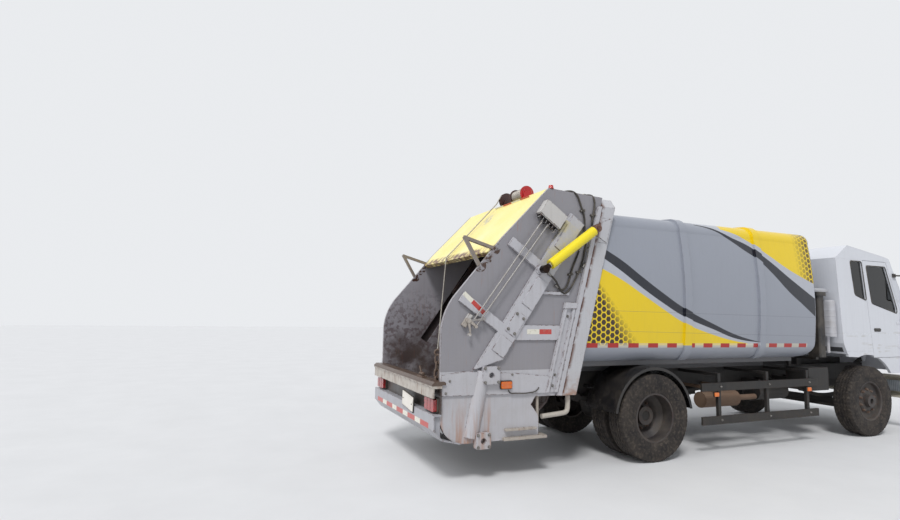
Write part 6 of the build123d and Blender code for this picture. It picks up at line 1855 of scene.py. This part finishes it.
class TRUCK_OT_body(bpy.types.Operator):
    """Livery of the load body and finish of its frame and floor"""

    bl_idname = "truck.body"
    bl_label = "Load body"

    def execute(self, context):
        scene = context.scene
        paint, wear = scene.truck_paint, scene.truck_wear
        dress(enamel_on_steel("body_livery_enamel", livery(paint, scene.truck_detail), wear, roughness=0.3,
                              dust=0.3, rust=0.25, dust_top=1.7), "body_shell")
        dress(enamel_on_steel("body_grey_enamel", paint.body[:], wear, dust=0.8, rust=0.6), "body_front_wall")
        dress(enamel_on_steel("frame_grey_enamel", frame_colours, wear, dust=0.6, rust=1.4),
              "body_rear_frame")
        # The floor's dark grey #55565B is painted shade: it stands in for the shadow under the load body.
        dress(enamel_on_steel("floor_painted_shade_enamel", ink("#55565B"), wear, dust=0.8, rust=0.8), "body_floor")
        dress(worn_trough_steel("scoured_ejector_steel", wear), "ejector")
        return {"FINISHED"}


class TRUCK_OT_tailgate(bpy.types.Operator):
    """Finishes of the tailgate, its hopper and the packer"""

    bl_idname = "truck.tailgate"
    bl_label = "Tailgate"

    def execute(self, context):
        paint, wear = context.scene.truck_paint, context.scene.truck_wear
        dress(enamel_on_steel("tailgate_grey_enamel", wall_colours(paint), wear, dust=0.8, rust=1.3),
              *with_sides("tailgate_side"))
        dress(enamel_on_steel("control_gear_enamel", gear_colours, wear, dust=0.8, rust=1.2), "control_gear")
        dress(enamel_on_steel("faded_hood_enamel", hood_colours(paint), wear, roughness=0.45, dust=0.5),
              "tailgate_hood")
        dress(enamel_on_steel("panel_grey_enamel", panel_colours, wear, dust=0.8, rust=1.2), "rear_panel")
        dress(enamel_on_steel("rusted_sill_enamel", sill_colours, wear, dust=0.8, rust=2.2, rust_size=0.09),
              "loading_sill")
        dress(enamel_on_steel("rusted_guard_enamel", ink("#837970"), wear, dust=1.0, rust=2.4, rust_size=0.1),
              "guard_frames")
        dress(worn_trough_steel("scoured_trough_steel", wear), "hopper_tub", "packer_blade", "carriage")

        def barrel_colours(tree, place):
            """Yellow barrel with a bare, rusty eye."""
            eye = near_pin(tree, place, BARREL_PIN, BARREL_EYE)
            return layered(tree, paint.cylinder[:], [(eye, ink("#6A4A38"))])

        def rod_colours(tree, place):
            """Bright rod with a greasy black eye."""
            return layered(tree, ink("#B9B5B0"), [(near_pin(tree, place, ROD_PIN, ROD_EYE), ink("#2A211E"))])

        dress(enamel_on_steel("cylinder_yellow_enamel", barrel_colours, wear, roughness=0.28, dust=0.2,
                              rust=0.3), *with_sides("lift_barrel"))
        dress(drawn_steel("drawn_steel_rod", rod_colours, 0.22), *with_sides("lift_rod"))
        dress(drawn_steel("greasy_steel_rod", ink("#6B6560"), 0.3), "blade_rods")
        dress(enamel_on_steel("winch_red_enamel", winch_colours, wear, dust=0.5, rust=1.2), "winch")
        dress(acrylic_lens("coloured_acrylic_lens", lamp_colours), "tail_lamps")
        return {"FINISHED"}


class TRUCK_OT_cab(bpy.types.Operator):
    """Finishes of the cab"""

    bl_idname = "truck.cab"
    bl_label = "Cab"

    def execute(self, context):
        paint, wear = context.scene.truck_paint, context.scene.truck_wear
        dress(enamel_on_steel("cab_white_enamel", cab_colours(paint), wear, roughness=0.26, dust=0.35,
                              rust=0.25),
              "cab_roof", "cab_back", "cab_front", "cab_floor", *with_sides("door"))
        dress(tinted_glass(), "cab_glass", *with_sides("door_glass"))
        dress(moulded_plastic("black_moulded_plastic", ink("#1A1A1C"), 0.42, 0.25), "mirrors", "air_intake")
        dress(moulded_plastic("grey_dashboard_plastic", ink("#3B3C3F"), 0.6, 0.2), "dashboard")
        dress(enamel_on_steel("bumper_beige_enamel", paint.bumper[:], wear, roughness=0.4, dust=0.9,
                              rust=0.3), "front_bumper")
        dress(clear_lens(), "headlamps")
        return {"FINISHED"}


class TRUCK_OT_chassis(bpy.types.Operator):
    """Finishes of the chassis, axles and wheels"""

    bl_idname = "truck.chassis"
    bl_label = "Chassis"

    def execute(self, context):
        wear = context.scene.truck_wear
        dress(black_chassis_enamel(wear), "chassis_frame", "front_axle", "rear_axle", "leaf_springs",
              "engine_block", "side_tanks", "battery_box", "side_guards", "tie_rod", *with_sides("knuckle"))
        dress(enamel_on_steel("rusty_silencer_steel", ink("#6B5240"), wear, roughness=0.7, dust=1.0, rust=2.0,
                              rust_size=0.08, coat=0.0), "muffler")
        dress(moulded_plastic("black_mudguard_plastic", ink("#17171A"), 0.2, 0.1), "mudguards")
        dress(enamel_on_steel("dark_rim_enamel", ink("#2C292B"), wear, roughness=0.45, dust=0.7, rust=0.8,
                              coat=0.0), *with_sides("front_rim", "rear_rims"))
        return {"FINISHED"}


# Stage

CAMERA_PLACE = Vector((-6.261, -6.334, 1.740))
CAMERA_YAW = 1.172
CAMERA_PITCH = 0.101
CAMERA_ROLL = 0.016
FLOOR_HALF = 60.0


class TRUCK_OT_stage(bpy.types.Operator):
    """Camera, lamps and floor"""

    bl_idname = "truck.stage"
    bl_label = "Stage"

    def execute(self, context):
        settings = context.scene.truck_stage
        level = math.cos(CAMERA_PITCH)
        forward = Vector((
            level * math.cos(CAMERA_YAW), level * math.sin(CAMERA_YAW), math.sin(CAMERA_PITCH)))
        right = forward.cross(Vector((0, 0, 1))).normalized()
        up = right.cross(forward)
        right, up = (right * math.cos(CAMERA_ROLL) + up * math.sin(CAMERA_ROLL),
                     up * math.cos(CAMERA_ROLL) - right * math.sin(CAMERA_ROLL))
        camera = bpy.data.objects.new("camera", bpy.data.cameras.new("camera"))
        camera.data.lens = settings.lens
        camera.data.sensor_width = 36.0
        camera.data.clip_end = 200.0
        turned = Matrix((right, up, -forward)).transposed().to_4x4()
        camera.matrix_world = Matrix.Translation(CAMERA_PLACE) @ turned
        context.scene.collection.objects.link(camera)
        context.scene.camera = camera

        for name, strength, turn, spread in (
            ("sun", settings.sun, (math.radians(38), 0, math.radians(-38)), 14),
            ("fill", 0.55 * settings.sun, (math.radians(62), 0, math.radians(-95)), 60),
        ):
            lamp = bpy.data.objects.new(name, bpy.data.lights.new(name, "SUN"))
            lamp.data.energy = strength
            lamp.data.angle = math.radians(spread)
            lamp.rotation_euler = turn
            context.scene.collection.objects.link(lamp)

        world = bpy.data.worlds.new("studio")
        context.scene.world = world
        world.use_nodes = True
        tree = world.node_tree
        light = next(node for node in tree.nodes if node.type == "BACKGROUND")
        light.inputs["Color"].default_value = ink("#E9EDF2")
        light.inputs["Strength"].default_value = settings.sky
        rays = [add(tree, "ShaderNodeLightPath", output=output)
                for output in ("Is Camera Ray", "Is Glossy Ray", "Is Transmission Ray")]
        seen = either(tree, either(tree, rays[0], rays[1]), rays[2])
        backdrop = add(tree, "ShaderNodeBackground", {"Color": ink("#EFF1F4"), "Strength": 0.95})
        mixed = add(tree, "ShaderNodeMixShader", {0: seen, 1: light.outputs[0], 2: backdrop})
        output = next(node for node in tree.nodes if node.type == "OUTPUT_WORLD")
        tree.links.new(mixed, output.inputs["Surface"])

        mesh = bpy.data.meshes.new("floor")
        corners = [(u * FLOOR_HALF, v * FLOOR_HALF, 0) for u, v in ((-1, -1), (1, -1), (1, 1), (-1, 1))]
        mesh.from_pydata(corners, [], [(0, 1, 2, 3)])
        floor = bpy.data.objects.new("floor", mesh)
        mesh.materials.append(sealed_concrete())
        context.scene.collection.objects.link(floor)
        context.scene.view_settings.view_transform = "Standard"
        return {"FINISHED"}


class TRUCK_PT_panel(bpy.types.Panel):
    """Lists the truck's pieces and settings"""

    bl_label = "Garbage truck"
    bl_idname = "TRUCK_PT_panel"
    bl_space_type = "VIEW_3D"
    bl_region_type = "UI"
    bl_category = "Truck"

    def draw(self, context):
        for group in SETTINGS:
            holder = getattr(context.scene, group)
            for key in holder.bl_rna.properties.keys():
                if key not in ("rna_type", "name"):
                    self.layout.prop(holder, key)
        for operator in OPERATORS:
            self.layout.operator(operator.bl_idname)


SETTINGS = {
    "truck_paint": TruckPaint,
    "truck_wear": TruckWear,
    "truck_detail": TruckDetail,
    "truck_stage": TruckStage,
}
OPERATORS = (
    TRUCK_OT_stage, TRUCK_OT_body, TRUCK_OT_tailgate, TRUCK_OT_cab, TRUCK_OT_chassis, TRUCK_OT_tyres,
    TRUCK_OT_tailgate_fittings, TRUCK_OT_seats, TRUCK_OT_cab_trim, TRUCK_OT_chassis_trim,
)


def register():
    for cls in (*SETTINGS.values(), *OPERATORS, TRUCK_PT_panel):
        bpy.utils.register_class(cls)
    for name, group in SETTINGS.items():
        setattr(bpy.types.Scene, name, bpy.props.PointerProperty(type=group))


def unregister():
    for name in SETTINGS:
        delattr(bpy.types.Scene, name)
    for cls in (TRUCK_PT_panel, *reversed(OPERATORS), *SETTINGS.values()):
        bpy.utils.unregister_class(cls)


def main():
    """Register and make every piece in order."""
    register()
    for operator in OPERATORS:
        group, action = operator.bl_idname.split(".")
        getattr(getattr(bpy.ops, group), action)()


if __name__ == "__main__":
    main()
